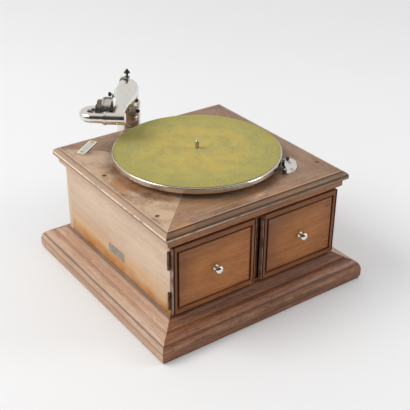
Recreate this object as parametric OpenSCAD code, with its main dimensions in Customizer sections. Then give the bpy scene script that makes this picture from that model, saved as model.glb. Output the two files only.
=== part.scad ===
// Table gramophone: oak cabinet with two doors over a built-in horn, a spring motor,
// a nickel tone arm carried on a sound conduit behind the case, and a 12 inch turntable.
// Origin: centre of the plinth's underside. Front is -Y, left is -X, up is +Z.

/* [Cabinet] */
// Width and depth of the square case
body_w = 356; // [330:1:400]
// Thickness of the case sides and back
panel_t = 12; // [9:0.5:16]
// Thickness of the bottom board
bottom_t = 8; // [5:0.5:12]
// Height of the top surface above the table
top_z = 223; // [215:1:260]
// Thickness of the top board
top_t = 19; // [15:0.5:24]
// How far the top board's lip stands out past the case
top_out = 16.8; // [12:0.2:24]
// Radius of the ovolo on the top board
top_ovolo_r = 8.5; // [6:0.5:12]
// Height of the small step over the ovolo
top_step = 1.5; // [0.5:0.1:2.5]
// Height of the cornice moulding under the top board
cornice_h = 15; // [10:0.5:17]
// How far the cornice stands out past the case
cornice_out = 9.5; // [5:0.5:12]

/* [Plinth] */
// How far the plinth's nose stands out past the case
plinth_out = 45; // [35:1:60]
// Height of the plinth where it meets the case
plinth_h = 54; // [50:1:58]
// Radius of the quarter round on the plinth
plinth_round_r = 23; // [16:1:25]
// Height of the plinth's lower fillet
plinth_foot_h = 5; // [3:0.5:9]
// How far the lower fillet is set back from the nose
plinth_foot_in = 2; // [1:0.5:4]

/* [Doors] */
// Thickness of the door in front of the case
door_t = 8.4; // [7:0.2:12]
// Gap between the two doors
door_gap = 16; // [6:1:20]
// Height of the doors' lower edge
door_z0 = 59; // [58:1:66]
// Clearance over the doors
door_top_gap = 0.8; // [0.5:0.1:3]
// Width of the door's frame
door_frame_w = 8; // [6.5:0.5:12]
// Width of the sunk groove round the panel's field
door_groove_w = 4; // [3:0.5:6]
// Diameter of the door knobs
knob_d = 15.5; // [12:0.5:20]
// Height of each hinge
hinge_h = 33; // [24:1:40]
// Distance from the door's upper or lower edge to a hinge's middle
hinge_in = 25; // [20:1:32]
// Diameter of the hinge pins
hinge_pin_d = 2.2; // [1.6:0.1:2.8]

/* [Turntable] */
// Diameter of the turntable
platter_d = 309; // [290:1:310]
// Height of the turntable's rim
rim_h = 9.5; // [7:0.5:12]
// Height of the felt above the top board
felt_z = 22; // [20:0.5:26]
// Thickness of the felt
felt_t = 1.2; // [0.8:0.1:2]
// Diameter of the spindle
spindle_d = 7.2; // [6.8:0.1:8]
// Height of the spindle above the felt
spindle_up = 16; // [10:0.5:20]

/* [Tone arm] */
// Distance of the arm's pivot to the left of the spindle
pivot_left = 13.5; // [0:0.5:30]
// Distance of the arm's pivot behind the case
pivot_back = 41; // [38.5:0.5:50]
// Height of the arm's axis above the top board
arm_up = 67; // [64:0.5:74]
// Distance from the pivot to the goose-neck's axis
arm_len = 145; // [130:1:160]
// Angle of the parked arm to the left of straight ahead
arm_park = 39.3; // [25:0.1:45]
// Outside diameter of the arm's large end
arm_big_d = 43; // [39:0.2:44]
// Outside diameter of the arm's small end
arm_small_d = 20.6; // [18:0.2:21.4]
// Wall of the arm's tubes
arm_wall = 1.4; // [1:0.1:2]
// Outside diameter of the sound conduit
conduit_d = 47; // [46.6:0.2:50]
// Height of the conduit's top ring above the top board
conduit_up = 40; // [36:0.5:42]
// Bend radius of the conduit
conduit_bend = 38; // [30:1:38.5]
// Height of the horn's throat in the back of the case
throat_z = 92; // [88:1:100]

/* [Goose-neck] */
// Outside diameter of the cross tube
cross_d = 21.8; // [20:0.2:24]
// Length of the cross tube left of the arm's axis
cross_left = 17; // [15:0.5:20]
// Length of the cross tube right of the arm's axis
cross_right = 15.5; // [12.5:0.5:18]
// Outside diameter of the goose-neck
neck_d = 18.2; // [16:0.2:18.6]
// Distance between the goose-neck's two legs
neck_span = 35; // [33:0.5:38]
// Distance of the goose-neck's bend to the left of the arm's axis
neck_left = 44.2; // [43.4:0.1:47]
// Play between the goose-neck's spigot and the cross tube, on the radius
spigot_play = 0.06; // [0.03:0.01:0.1]

/* [Sound box] */
// Diameter of the sound box's flange
box_d = 51; // [48:0.5:54]
// Distance of the sound box's front from the arm's axis
box_right = 13; // [12.8:0.1:15]
// Diameter of the diaphragm
diaphragm_d = 39; // [34:0.5:40]
// Angle of the stylus bar above level when parked
stylus_tilt = 45; // [35:1:55]
// Distance of the needle's point from the sound box's centre
needle_reach = 43; // [42:0.5:45]

/* [Motor] */
// Distance of the spring barrel from the spindle
barrel_dist = 91; // [89:0.5:100]
// Direction of the spring barrel from the spindle
barrel_dir = 29.4; // [20:0.2:40]
// Diameter of the spring barrel
barrel_d = 96; // [80:1:98]
// Height of the spring barrel
barrel_h = 34; // [26:1:35]
// Height of the motor's lower plate
lower_plate_z = 112; // [111:0.5:116]
// Thickness of the motor's plates
plate_t = 3; // [2:0.5:4]

/* [Crank] */
// Length of the crank's throw
crank_throw = 95; // [80:1:100]
// Distance of the crank's arm from the case
crank_out = 50; // [49:1:70]
// Length of the wooden grip
grip_len = 62; // [50:1:80]
// Diameter of the wooden grip
grip_d = 22; // [18:1:26]

/* [Hidden] */
$fn = 64;

oak = [0.55, 0.33, 0.20];
oak_dark = [0.42, 0.24, 0.15];
nickel = [0.78, 0.77, 0.73];
steel = [0.60, 0.60, 0.62];
iron = [0.25, 0.26, 0.28];
brass = [0.72, 0.58, 0.30];
black = [0.08, 0.08, 0.08];

e = 0.01;
half_w = body_w / 2;
nose = half_w + plinth_out;
lip = half_w + top_out;
top_under = top_z - top_t;
cornice_z = top_under - cornice_h;
inner_w = half_w - panel_t;
bottom_z = 0;

// A profile drawn as distance from the middle and height, run along the front
module front_run(reach) {
    rotate([90, 0, 90])
        translate([0, 0, -reach])
            linear_extrude(2 * reach)
                mirror([1, 0])
                    children();
}

// One side of a square frame, cut with mitres; turn 0 is the front
module mitred_side(turn, reach, high) {
    rotate([0, 0, turn])
        intersection() {
            front_run(reach)
                children();
            translate([0, 0, -1])
                linear_extrude(high + 2)
                    polygon([[0, 0], [-reach, -reach], [reach, -reach]]);
        }
}

// The upper outer quarter of a circle
module quarter_round(x, z, r) {
    translate([x, z])
        intersection() {
            circle(r);
            square(r + 1);
        }
}

// Plinth: sloping top, quarter round, nose and lower fillet
slope_foot_z = plinth_h - 11;
round_in = nose - plinth_round_r;
plinth_step = 1.8;
module plinth_profile() {
    round_z = slope_foot_z - plinth_step - plinth_round_r;
    union() {
        polygon([[half_w, 0], [nose - plinth_foot_in, 0], [nose - plinth_foot_in, plinth_foot_h],
            [nose, plinth_foot_h], [nose, round_z], [round_in, round_z],
            [round_in, slope_foot_z], [half_w + 2, plinth_h], [half_w, plinth_h]]);
        quarter_round(round_in, round_z, plinth_round_r);
    }
}
module plinth_length(turn) {
    color(oak_dark)
        mitred_side(turn, nose + 5, plinth_h)
            plinth_profile();
}
module plinth_front() { plinth_length(0); }
module plinth_right() { plinth_length(90); }
module plinth_back() { plinth_length(180); }
module plinth_left() { plinth_length(270); }

module bottom_board() {
    color(oak)
        translate([-half_w, -half_w, bottom_z])
            cube([body_w, body_w, bottom_t]);
}

// Case sides, with pockets for the hinge leaves in their front edges
side_z = bottom_z + bottom_t;
side_h = top_under - side_z;
door_z1 = cornice_z - door_top_gap;
door_h = door_z1 - door_z0;
hinge_zs = [door_z0 + hinge_in, door_z1 - hinge_in];
leaf_t = 1.2;
leaf_w = 10.5;
knuckle_r = hinge_pin_d / 2 + 1.2;
hinge_off = knuckle_r + 0.3;
door_back = 0.6;
hinge_y = -half_w - door_back / 2;
module side_panel() {
    color(oak)
        difference() {
            translate([-half_w, -half_w, side_z])
                cube([panel_t, body_w - panel_t, side_h]);
            for (z = hinge_zs)
                translate([-half_w - 1, -half_w - 1, z - hinge_h / 2 - 0.1])
                    cube([leaf_w + 1.1, leaf_t + 1, hinge_h + 0.2]);
        }
}
shaft_y = barrel_dist * sin(barrel_dir);
module left_side() { side_panel(); }
module right_side() {
    difference() {
        mirror([1, 0, 0])
            side_panel();
        translate([inner_w - 1, shaft_y, shaft_z])
            rotate([0, 90, 0])
                cylinder(r = bush_r, h = panel_t + 2);
    }
}

module back_panel() {
    color(oak)
        difference() {
            translate([-half_w, inner_w, side_z])
                cube([body_w, panel_t, side_h]);
            translate([-pivot_left, inner_w - 1, throat_z])
                rotate([-90, 0, 0])
                    cylinder(r = conduit_r, h = panel_t + 2);
            for (a = [45 : 90 : 315])
                translate([-pivot_left + flange_pcr * cos(a), half_w - screw_in, throat_z + flange_pcr * sin(a)])
                    rotate([-90, 0, 0])
                        cylinder(r = screw_r, h = screw_in + 1);
        }
}

// Rails over and under the door opening, and the post between the two doors
lower_rail_h = door_z0 - 2 - side_z;
upper_rail_z = door_z1 - 5;
rail_d = 14;
post_w = 18;
post_d = 8;
post_y = -half_w + rail_d - post_d;
module front_frame() {
    color(oak_dark)
        union() {
            for (span = [[side_z, lower_rail_h], [upper_rail_z, top_under - upper_rail_z]])
                translate([-inner_w, -half_w, span[0]])
                    cube([2 * inner_w, rail_d, span[1]]);
            translate([-post_w / 2, post_y, side_z + lower_rail_h - e])
                cube([post_w, post_d, upper_rail_z - side_z - lower_rail_h + 2 * e]);
        }
}

// Cornice: four mitred lengths with a cove underneath
module cornice() {
    cove_r = 8;
    color(oak_dark)
        for (turn = [0 : 90 : 270])
            mitred_side(turn, lip, top_z)
                difference() {
                    translate([half_w, cornice_z])
                        square([cornice_out, cornice_h]);
                    translate([half_w + cornice_out + 1.5, cornice_z - 3])
                        circle(cove_r);
                }
}

// Top board: a flat middle with its edge moulding mitred at the corners
ovolo_in = lip - top_ovolo_r;
screw_x = half_w - panel_t / 2;
top_screw_ys = [-134, 38];
brake_dir = -41.5;
brake_r = platter_d / 2 + 13.5;
module top_edge() {
    ovolo_z = top_z - top_step - top_ovolo_r;
    lip_z = top_under + 4.5;
    polygon([[ovolo_in - 20, top_under], [half_w + cornice_out + 1, top_under],
        [lip, lip_z], [lip, ovolo_z], [ovolo_in, ovolo_z], [ovolo_in, top_z], [ovolo_in - 20, top_z]]);
    quarter_round(ovolo_in, ovolo_z, top_ovolo_r);
}
module top_board() {
    color(oak)
        difference() {
            union() {
                translate([-ovolo_in + 10, -ovolo_in + 10, top_under])
                    cube([2 * ovolo_in - 20, 2 * ovolo_in - 20, top_t]);
                for (turn = [0 : 90 : 270])
                    mitred_side(turn, lip, top_z)
                        top_edge();
            }
            translate([0, 0, top_under - 1])
                cylinder(d = spindle_d + 6, h = top_t + 2);
            for (p = bolt_points)
                translate([p[0], p[1], top_under - 1])
                    cylinder(r = bolt_r + 0.3, h = top_t + 2);
            for (p = bolt_points)
                translate([p[0], p[1], top_z - bolt_head_h - 0.5])
                    cylinder(r = bolt_head_r + 0.5, h = bolt_head_h + 1);
            for (p = top_screw_points)
                translate([p[0], p[1], top_z - 2.6])
                    cylinder(r = 4.1, h = 4);
            for (p = top_screw_points)
                translate([p[0], p[1], top_under - 1])
                    cylinder(r = screw_r, h = top_t + 2);
            at_brake(speed_out, speed_along)
                translate([0, 0, top_under - 1])
                    cylinder(r = speed_stem_r + 0.5, h = top_t + 2);
            for (p = plate_screws)
                at_brake(p[0], p[1])
                    translate([0, 0, top_z - screw_in])
                        cylinder(r = screw_r, h = screw_in + 1);
        }
}

// Slotted wood screw with its head upward
screw_r = 1.8;
screw_in = 10;
module slot_screw(head_r, head_h, shank) {
    difference() {
        union() {
            cylinder(r = head_r, h = head_h);
            translate([0, 0, -shank])
                cylinder(r = screw_r, h = shank + e);
        }
        translate([-head_r - 1, -0.4, head_h - 0.8])
            cube([2 * head_r + 2, 0.8, 2]);
    }
}
top_screw_points = [for (x = [-screw_x, screw_x], y = top_screw_ys) [x, y]];
module top_screws() {
    color(iron) {
        for (p = top_screw_points)
            translate([p[0], p[1], top_z - 2.6])
                slot_screw(4, 2.2, top_t - 2.6);
        for (p = plate_screws)
            at_brake(p[0], p[1])
                translate([0, 0, top_z + plate_floor])
                    slot_screw(2.8, 1.1, plate_floor + screw_in);
    }
}

// Blank metal plate on the left side
plate_front = half_w - 148.5;
side_plate_w = 52;
side_plate_h = 17;
side_plate_z = 79;
module name_plate() {
    color(brass)
        translate([-half_w - 0.8, -plate_front, side_plate_z])
            cube([0.8, side_plate_w, side_plate_h]);
}

// Blank ivory-coloured plate across the back left corner of the top, with its two pins
corner_in = [35.8, 22.7];
corner_w = 56;
corner_d = 16;
corner_t = 1.6;
corner_r = 3;
module corner_plate() {
    color("ivory")
        translate([corner_in[0] - half_w, half_w - corner_in[1], top_z])
            rotate([0, 0, 36])
                union() {
                    for (cut = [[0, corner_r], [corner_r, 0]])
                        translate([cut[0] - corner_w / 2, cut[1] - corner_d / 2, 0])
                            cube([corner_w - 2 * cut[0], corner_d - 2 * cut[1], corner_t]);
                    for (sx = [-1, 1], sy = [-1, 1])
                        translate([sx * (corner_w / 2 - corner_r), sy * (corner_d / 2 - corner_r), 0])
                            cylinder(r = corner_r, h = corner_t);
                    for (s = [-1, 1])
                        translate([s * (corner_w / 2 - 5), 0, corner_t / 2])
                            cylinder(r = 1.6, h = corner_t / 2 + 0.6);
                }
}

// Doors: left door drawn, right door mirrored
door_x0 = -half_w + 0.5;
door_x1 = -door_gap / 2;
door_y = -half_w - door_back;
door_front = door_y - door_t;
quirk_in = 1.4;
quirk_w = 1.8;
groove_d = 4;
plug_in = panel_t + 1;
plug_d = 7.5;
module door_frame() {
    color(oak_dark)
        difference() {
            translate([door_x0, door_front, door_z0])
                cube([door_x1 - door_x0, door_t, door_h]);
            translate([door_x0 + door_frame_w, door_front - 1, door_z0 + door_frame_w])
                cube([door_x1 - door_x0 - 2 * door_frame_w, door_t + 2, door_h - 2 * door_frame_w]);
            for (x = [door_x0 + quirk_in, door_x1 - quirk_in - quirk_w])
                translate([x, door_front - 1, door_z0 - 1])
                    cube([quirk_w, 3, door_h + 2]);
            leaf_recess();
        }
}
module leaf_recess() {
    for (z = hinge_zs)
        translate([-half_w - 1, door_y - leaf_t, z - hinge_h / 2 - 0.1])
            cube([leaf_w + 1.1, leaf_t + 1, hinge_h + 0.2]);
}
module door_slab(inset, y0, y1) {
    translate([door_x0 + inset, y0, door_z0 + inset])
        cube([door_x1 - door_x0 - 2 * inset, y1 - y0, door_h - 2 * inset]);
}
knob_x = (door_x0 + door_x1) / 2;
knob_z = (door_z0 + door_z1) / 2;
knob_stem_r = 2.6;
knob_out = 12;
module door_panel() {
    color(oak)
        difference() {
            union() {
                door_slab(door_frame_w, door_front + groove_d, door_y);
                door_slab(plug_in, door_y - e, door_y + plug_d);
                door_slab(door_frame_w + door_groove_w, door_front + 0.6, door_y);
            }
            leaf_recess();
            translate([knob_x, door_front - 1, knob_z])
                rotate([-90, 0, 0])
                    cylinder(r = knob_stem_r, h = door_t + plug_d - 2);
        }
}
module door_knob() {
    color(nickel)
        translate([knob_x, door_front + 0.6, knob_z])
            rotate([90, 0, 0])
                rotate_extrude()
                    difference() {
                        union() {
                            translate([0, -10])
                                square([knob_stem_r, 10 + knob_out]);
                            square([knob_d * 0.34, 1.6]);
                            translate([0, knob_out])
                                scale([1, 0.62])
                                    circle(knob_d / 2);
                        }
                        translate([-knob_d, -20])
                            square([knob_d, 60]);
                    }
}
module left_door_frame() { door_frame(); }
module left_door_panel() { door_panel(); }
module left_knob() { door_knob(); }
module right_door_frame() { mirror([1, 0, 0]) door_frame(); }
module right_door_panel() { mirror([1, 0, 0]) door_panel(); }
module right_knob() { mirror([1, 0, 0]) door_knob(); }

// Butt hinges: the case leaf has the two outer knuckles, the door leaf the middle one
hinge_x = -half_w - hinge_off;
knuckle_gap = 0.3;
module knuckle(z0, z1) {
    translate([hinge_x, hinge_y, z0])
        difference() {
            cylinder(r = knuckle_r, h = z1 - z0);
            translate([0, 0, -1])
                cylinder(d = hinge_pin_d + 0.1, h = z1 - z0 + 2);
        }
}
module hinge_leaf(z, y0, parts) {
    third = hinge_h / 3;
    z0 = z - hinge_h / 2;
    translate([-half_w - 0.1, y0, z0])
        cube([leaf_w, leaf_t, hinge_h]);
    for (i = parts) {
        k0 = z0 + i * third + (i > 0 ? knuckle_gap / 2 : 0);
        k1 = z0 + (i + 1) * third - (i < 2 ? knuckle_gap / 2 : 0);
        knuckle(k0, k1);
        difference() {
            translate([hinge_x, y0, k0])
                cube([hinge_off, leaf_t, k1 - k0]);
            translate([hinge_x, hinge_y, z0 - 1])
                cylinder(r = knuckle_r - 0.2, h = hinge_h + 2);
        }
    }
}
module case_leaves() {
    for (z = hinge_zs)
        hinge_leaf(z, -half_w, [0, 2]);
}
module door_leaves() {
    color(brass)
        for (z = hinge_zs)
            hinge_leaf(z, door_y - leaf_t, [1]);
}
module case_hinge_leaves() {
    color(brass)
        for (m = [0, 1])
            mirror([m, 0, 0])
                case_leaves();
}
module left_door_leaves() { door_leaves(); }
module right_door_leaves() { mirror([1, 0, 0]) door_leaves(); }
module hinge_pins() {
    color(brass)
        for (m = [0, 1], z = hinge_zs)
            mirror([m, 0, 0])
                translate([hinge_x, hinge_y, z - hinge_h / 2]) {
                    cylinder(d = hinge_pin_d, h = hinge_h);
                    for (end = [-1, hinge_h])
                        translate([0, 0, end])
                            cylinder(r = knuckle_r - 0.3, h = 1);
                }
}

// Built-in horn: round throat at the back, under the motor, opening wide behind the doors
horn_wall = 2.5;
mouth_w = 2 * inner_w - 12;
mouth_z0 = side_z + lower_rail_h - horn_wall;
mouth_z1 = upper_rail_z + horn_wall;
horn_front = -half_w + rail_d;
duct_top = lower_plate_z - 4;
module horn_section(y, w, z0, z1, grow) {
    translate([-w / 2 - grow, y, z0 - grow])
        cube([w + 2 * grow, 0.5, z1 - z0 + 2 * grow]);
}
module throat_section(y, grow) {
    translate([-pivot_left, y, throat_z])
        rotate([-90, 0, 0])
            cylinder(r = conduit_r - conduit_wall - horn_wall + grow, h = 0.5, $fn = 32);
}
module horn_solid(grow, over) {
    hull() {
        throat_section(inner_w - 0.6 + over, grow);
        horn_section(80, 110, duct_top - 44, duct_top - horn_wall, grow);
    }
    hull() {
        horn_section(80, 110, duct_top - 44, duct_top - horn_wall, grow);
        horn_section(-50, 240, duct_top - 50, duct_top - horn_wall, grow);
    }
    hull() {
        horn_section(-50, 240, duct_top - 50, duct_top - horn_wall, grow);
        horn_section(horn_front - over, mouth_w - 2 * horn_wall, mouth_z0 + horn_wall,
            mouth_z1 - horn_wall, grow);
    }
}
module horn() {
    color(oak)
        difference() {
            horn_solid(horn_wall, 0);
            horn_solid(0, 0.6);
        }
}

// Sound conduit: flange on the back, a bend, the pillar and the arm's bearing sleeve
conduit_r = conduit_d / 2;
conduit_wall = 2.4;
pivot_y = half_w + pivot_back;
bend_z = throat_z + conduit_bend;
flange_r = 34;
flange_t = 4;
flange_pcr = 28.8;
arm_big_r = arm_big_d / 2;
arm_small_r = arm_small_d / 2;
sleeve_r = arm_big_r - arm_wall - 0.06;
sleeve_up = arm_up - arm_big_r + 4;
bracket_w = 9;
bracket_t = 2.2;
bracket_gap = 2.3;
bracket_r = arm_big_r + bracket_gap;
bracket_foot_z = top_z + 4;
module at_pivot() {
    translate([-pivot_left, pivot_y, 0])
        children();
}
joint_h = 6;
pillar_ring_up = 13;
pillar_ring_h = 2.4;
// The conduit's course: upright to a height above the plinth, the bend, and the run to the case
module conduit_shape(r, top, cut) {
    translate([0, 0, bend_z - cut])
        cylinder(r = r, h = top - bend_z + cut);
    translate([0, -conduit_bend, bend_z])
        rotate([0, 90, 0])
            rotate_extrude(angle = 90)
                translate([conduit_bend, 0])
                    circle(r);
    translate([0, -conduit_bend + cut, throat_z])
        rotate([90, 0, 0])
            cylinder(r = r, h = pivot_back - conduit_bend + panel_t + 2 * cut);
}
module sound_conduit() {
    color(nickel)
        at_pivot()
            difference() {
                union() {
                    conduit_shape(conduit_r, top_z + conduit_up, 0);
                    for (z = [conduit_up - pillar_ring_h, pillar_ring_up])
                        translate([0, 0, top_z + z])
                            cylinder(r = conduit_r + 0.9, h = pillar_ring_h);
                    translate([0, 0, top_z + conduit_up - 4])
                        cylinder(r = sleeve_r, h = sleeve_up - conduit_up + 4);
                    translate([0, -pivot_back, throat_z])
                        rotate([-90, 0, 0])
                            cylinder(r = flange_r, h = flange_t);
                    translate([-bracket_w / 2, 0, bracket_foot_z])
                        cube([bracket_w, bracket_r, 20]);
                }
                conduit_shape(conduit_r - conduit_wall, top_z + conduit_up - joint_h, 5);
                translate([0, 0, top_z + conduit_up - joint_h - 1])
                    cylinder(r = sleeve_r - 1.4, h = sleeve_up + 5);
                translate([-bracket_w / 2 - 0.3, bracket_r, top_z])
                    cube([bracket_w + 0.6, 5, conduit_up + 1]);
                for (a = [45 : 90 : 315])
                    translate([flange_pcr * cos(a), -pivot_back - 1, throat_z + flange_pcr * sin(a)])
                        rotate([-90, 0, 0])
                            cylinder(r = screw_r, h = flange_t + 2);
                for (z = [6, 14])
                    translate([0, conduit_r - conduit_wall - 1, bracket_foot_z + z])
                        rotate([-90, 0, 0])
                            cylinder(r = screw_r, h = 20);
                at_lug()
                    translate([0, 0, -10])
                        cylinder(r = screw_r, h = 20);
            }
}
// Screws of the flange and bracket, and the dark set screw on the pillar's side
lug_up = 27;
arm_screw_up = 49;
lug_turn = -72;
module at_lug() {
    translate([0, 0, top_z + lug_up])
        rotate([0, 0, lug_turn])
            translate([conduit_r, 0, 0])
                rotate([0, 90, 0])
                    children();
}
module conduit_screws() {
    color(iron)
        at_pivot() {
            for (a = [45 : 90 : 315])
                translate([flange_pcr * cos(a), -pivot_back + flange_t, throat_z + flange_pcr * sin(a)])
                    rotate([-90, 0, 0])
                        slot_screw(3.6, 2, flange_t + screw_in);
            for (z = [6, 14])
                translate([0, bracket_r + bracket_t, bracket_foot_z + z])
                    rotate([-90, 0, 0])
                        slot_screw(3, 1.8, bracket_r + bracket_t - conduit_r + conduit_wall);
            at_lug()
                slot_screw(3.4, 3.2, conduit_wall);
        }
}

// Bracket: a strap up the back of the elbow and over its crown, with the pivot's boss
arm_z = top_z + arm_up;
boss_r = 5;
module pivot_bracket() {
    color(nickel)
        at_pivot()
            difference() {
                union() {
                    translate([-bracket_w / 2, bracket_r, bracket_foot_z])
                        cube([bracket_w, bracket_t, arm_z - bracket_foot_z]);
                    translate([0, 0, arm_z])
                        rotate([90, 0, 90])
                            intersection() {
                                translate([0, 0, -bracket_w / 2])
                                    difference() {
                                        cylinder(r = bracket_r + bracket_t, h = bracket_w);
                                        translate([0, 0, -1])
                                            cylinder(r = bracket_r, h = bracket_w + 2);
                                    }
                                translate([-2, 0, -bracket_w])
                                    cube([100, 100, 2 * bracket_w]);
                            }
                    translate([0, 0, arm_z + bracket_r])
                        cylinder(r = boss_r, h = bracket_t + 1);
                }
                translate([0, 0, arm_z + bracket_r - 5])
                    cylinder(r = stem_r, h = 20);
                for (z = [6, 14])
                    translate([0, bracket_r - 1, bracket_foot_z + z])
                        rotate([-90, 0, 0])
                            cylinder(r = screw_r, h = bracket_t + 2);
            }
}
stem_r = 2;
finial_up = 10.3;
module pivot_screw() {
    color(black)
        at_pivot()
            translate([0, 0, arm_z + bracket_r]) {
                translate([0, 0, -bracket_gap - 0.5])
                    cylinder(r1 = 0.4, r2 = stem_r, h = bracket_gap + 0.2);
                translate([0, 0, -0.35])
                    cylinder(r = stem_r, h = finial_up + 1);
                translate([0, 0, finial_up])
                    cylinder(r = 6, h = 1.6);
                translate([0, 0, finial_up + 1.5])
                    cylinder(r1 = 5.6, r2 = 1.3, h = 6.5);
            }
}

// The arm and all it carries, drawn pointing to the front and turned to its parked place
module at_arm() {
    at_pivot()
        rotate([0, 0, -arm_park])
            translate([0, 0, arm_z])
                children();
}
elbow_len = arm_big_r + 4;
arm_screw_turn = lug_turn + arm_park;
module arm_screw() {
    color(iron)
        at_arm()
            rotate([0, 0, arm_screw_turn])
                translate([arm_big_r, 0, arm_screw_up - arm_up])
                    rotate([0, 90, 0])
                        slot_screw(3.4, 3, arm_wall);
}
module arm_elbow() {
    inner = arm_big_r - arm_wall;
    skirt_z = conduit_up + 0.4 - arm_up;
    color(nickel)
        at_arm()
            difference() {
                union() {
                    sphere(arm_big_r);
                    translate([0, 0, skirt_z])
                        cylinder(r = arm_big_r, h = -skirt_z);
                    translate([0, 0, skirt_z])
                        cylinder(r = arm_big_r + 0.9, h = 2.4);
                    rotate([90, 0, 0])
                        cylinder(r = arm_big_r, h = elbow_len);
                }
                sphere(inner);
                translate([0, 0, skirt_z - 1])
                    cylinder(r = inner, h = 1 - skirt_z);
                rotate([90, 0, 0])
                    cylinder(r = inner, h = elbow_len + 1);
                translate([0, 0, arm_big_r - 0.9])
                    cylinder(r1 = 0.5, r2 = 2, h = 1.5);
                rotate([0, 0, arm_screw_turn])
                    translate([0, 0, arm_screw_up - arm_up])
                        rotate([0, 90, 0])
                            cylinder(r = screw_r, h = arm_big_r + 2);
            }
}
// Radius of the taper, a little hollow, from the small end (0) to the large end (1)
function taper_r(u) = arm_small_r + (arm_big_r - arm_small_r) * pow(u, 2.8);
taper_steps = 10;
module tone_arm() {
    run = arm_len - elbow_len;
    outer = [for (i = [0 : taper_steps]) [taper_r(i / taper_steps), run * i / taper_steps]];
    bore = [for (i = [taper_steps : -1 : 0]) [taper_r(i / taper_steps) - arm_wall, run * i / taper_steps]];
    color(nickel)
        at_arm()
            translate([0, -arm_len, 0])
                difference() {
                    rotate([-90, 0, 0])
                        rotate_extrude()
                            polygon(concat(outer, bore));
                    rotate([0, 90, 0])
                        cylinder(r = cross_r, h = 60, center = true);
                }
}
cross_r = cross_d / 2;
neck_r = neck_d / 2;
cross_bore = neck_r + spigot_play;
cap_x = cross_right;
module cross_tube() {
    color(nickel)
        at_arm()
            translate([0, -arm_len, 0])
                difference() {
                    union() {
                        translate([-cross_left, 0, 0])
                            rotate([0, 90, 0])
                                cylinder(r = cross_r, h = cross_left + cap_x);
                        translate([cap_x, 0, 0])
                            rotate([0, 90, 0])
                                cylinder(r = cross_r + 0.4, h = 1.4);
                    }
                    translate([-cross_left - 1, 0, 0])
                        rotate([0, 90, 0])
                            cylinder(r = cross_bore, h = cross_left + 1 + cap_x);
                    rotate([-90, 0, 0])
                        cylinder(r = arm_small_r - arm_wall - 0.6, h = cross_r + 1);
                }
}
// Goose-neck: spigot, ring and a level half-turn back to the sound box
ring_w = 4;
spigot_len = 12;
neck_wall = 1.4;
module neck_run(r, cut) {
    translate([-neck_left - e, 0, 0])
        rotate([0, 90, 0])
            cylinder(r = r, h = neck_left - cross_left + spigot_len + cut);
    translate([-neck_left, neck_span / 2, 0])
        rotate([0, 0, 90])
            rotate_extrude(angle = 180)
                translate([neck_span / 2, 0])
                    circle(r);
    translate([-neck_left - e, neck_span, 0])
        rotate([0, 90, 0])
            cylinder(r = r, h = neck_end - e + cut);
}
neck_end = 1.9;
module at_neck() {
    at_arm()
        translate([0, -arm_len, 0])
            children();
}
module goose_neck() {
    color(nickel)
        at_neck()
            difference() {
                union() {
                    neck_run(neck_r, 0);
                    translate([-cross_left - ring_w - 0.3, 0, 0])
                        rotate([0, 90, 0])
                            cylinder(r = cross_r + 1.2, h = ring_w);
                }
                neck_run(neck_r - neck_wall, 1);
            }
}

// Sound box, seen from the arm: layers along the cross tube's direction
box_r = box_d / 2;
diaphragm_r = diaphragm_d / 2;
box_len = neck_left - neck_end - box_right;
isolator_t = 3.8;
back_t = 9.6;
ring_t = 3;
case_t = 7;
back_r = box_r - 4.5;
front_bore_r = diaphragm_r - 1.5;
// A disc of the sound box from one distance behind its front to another
module box_disc(r, near, far) {
    translate([-box_right - far, neck_span, 0])
        rotate([0, 90, 0])
            cylinder(r = r, h = far - near);
}
module box_isolator() {
    color(black)
        at_neck()
            difference() {
                box_disc(12, box_len - isolator_t, box_len);
                box_disc(neck_r - neck_wall, box_len - isolator_t - 1, box_len + 1);
            }
}
module box_back() {
    near = box_len - isolator_t - back_t;
    color(nickel)
        at_neck()
            difference() {
                union() {
                    box_disc(back_r, near + 2, box_len - isolator_t);
                    box_disc(back_r - 2.5, near, near + 2 + e);
                }
                box_disc(neck_r - neck_wall, near - 1, box_len);
                box_disc(back_r - 8, near - 1, near + 4);
            }
}
// Block on the case behind the stylus bar
block_w = 8;
block_y = 2.6;
module box_case() {
    far = box_len - isolator_t - back_t;
    color(nickel)
        at_neck()
            difference() {
                union() {
                    box_disc(box_r, far - ring_t, far);
                    box_disc(box_r - 3.7, far - ring_t - case_t, far - ring_t + e);
                    box_disc(box_r - 3.1, 0, far - ring_t - case_t + e);
                    at_stylus(box_r - 5)
                        translate([-block_w / 2, block_y, 0])
                            cube([block_w, far - ring_t - block_y + e, 5.6]);
                }
                box_disc(back_r - 8, far - 2, far + 1);
                box_disc(diaphragm_r + 0.5, 4.5, far - 1.9);
                box_disc(front_bore_r, -1, 5);
                at_stylus(0)
                    translate([-3.5, -1, front_bore_r - 4])
                        cube([7, 4.2, 12]);
            }
}
gasket_z = 7;
module box_gaskets() {
    color([0.65, 0.62, 0.55])
        at_neck()
            for (side = [-2.2, 0.3])
                difference() {
                    box_disc(diaphragm_r + 0.3, gasket_z + side, gasket_z + side + 1.9);
                    box_disc(diaphragm_r - 2.4, gasket_z + side - 1, gasket_z + side + 3);
                }
}
module diaphragm() {
    color([0.80, 0.76, 0.62])
        at_neck()
            box_disc(diaphragm_r, gasket_z - 0.28, gasket_z + 0.28);
}
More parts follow.
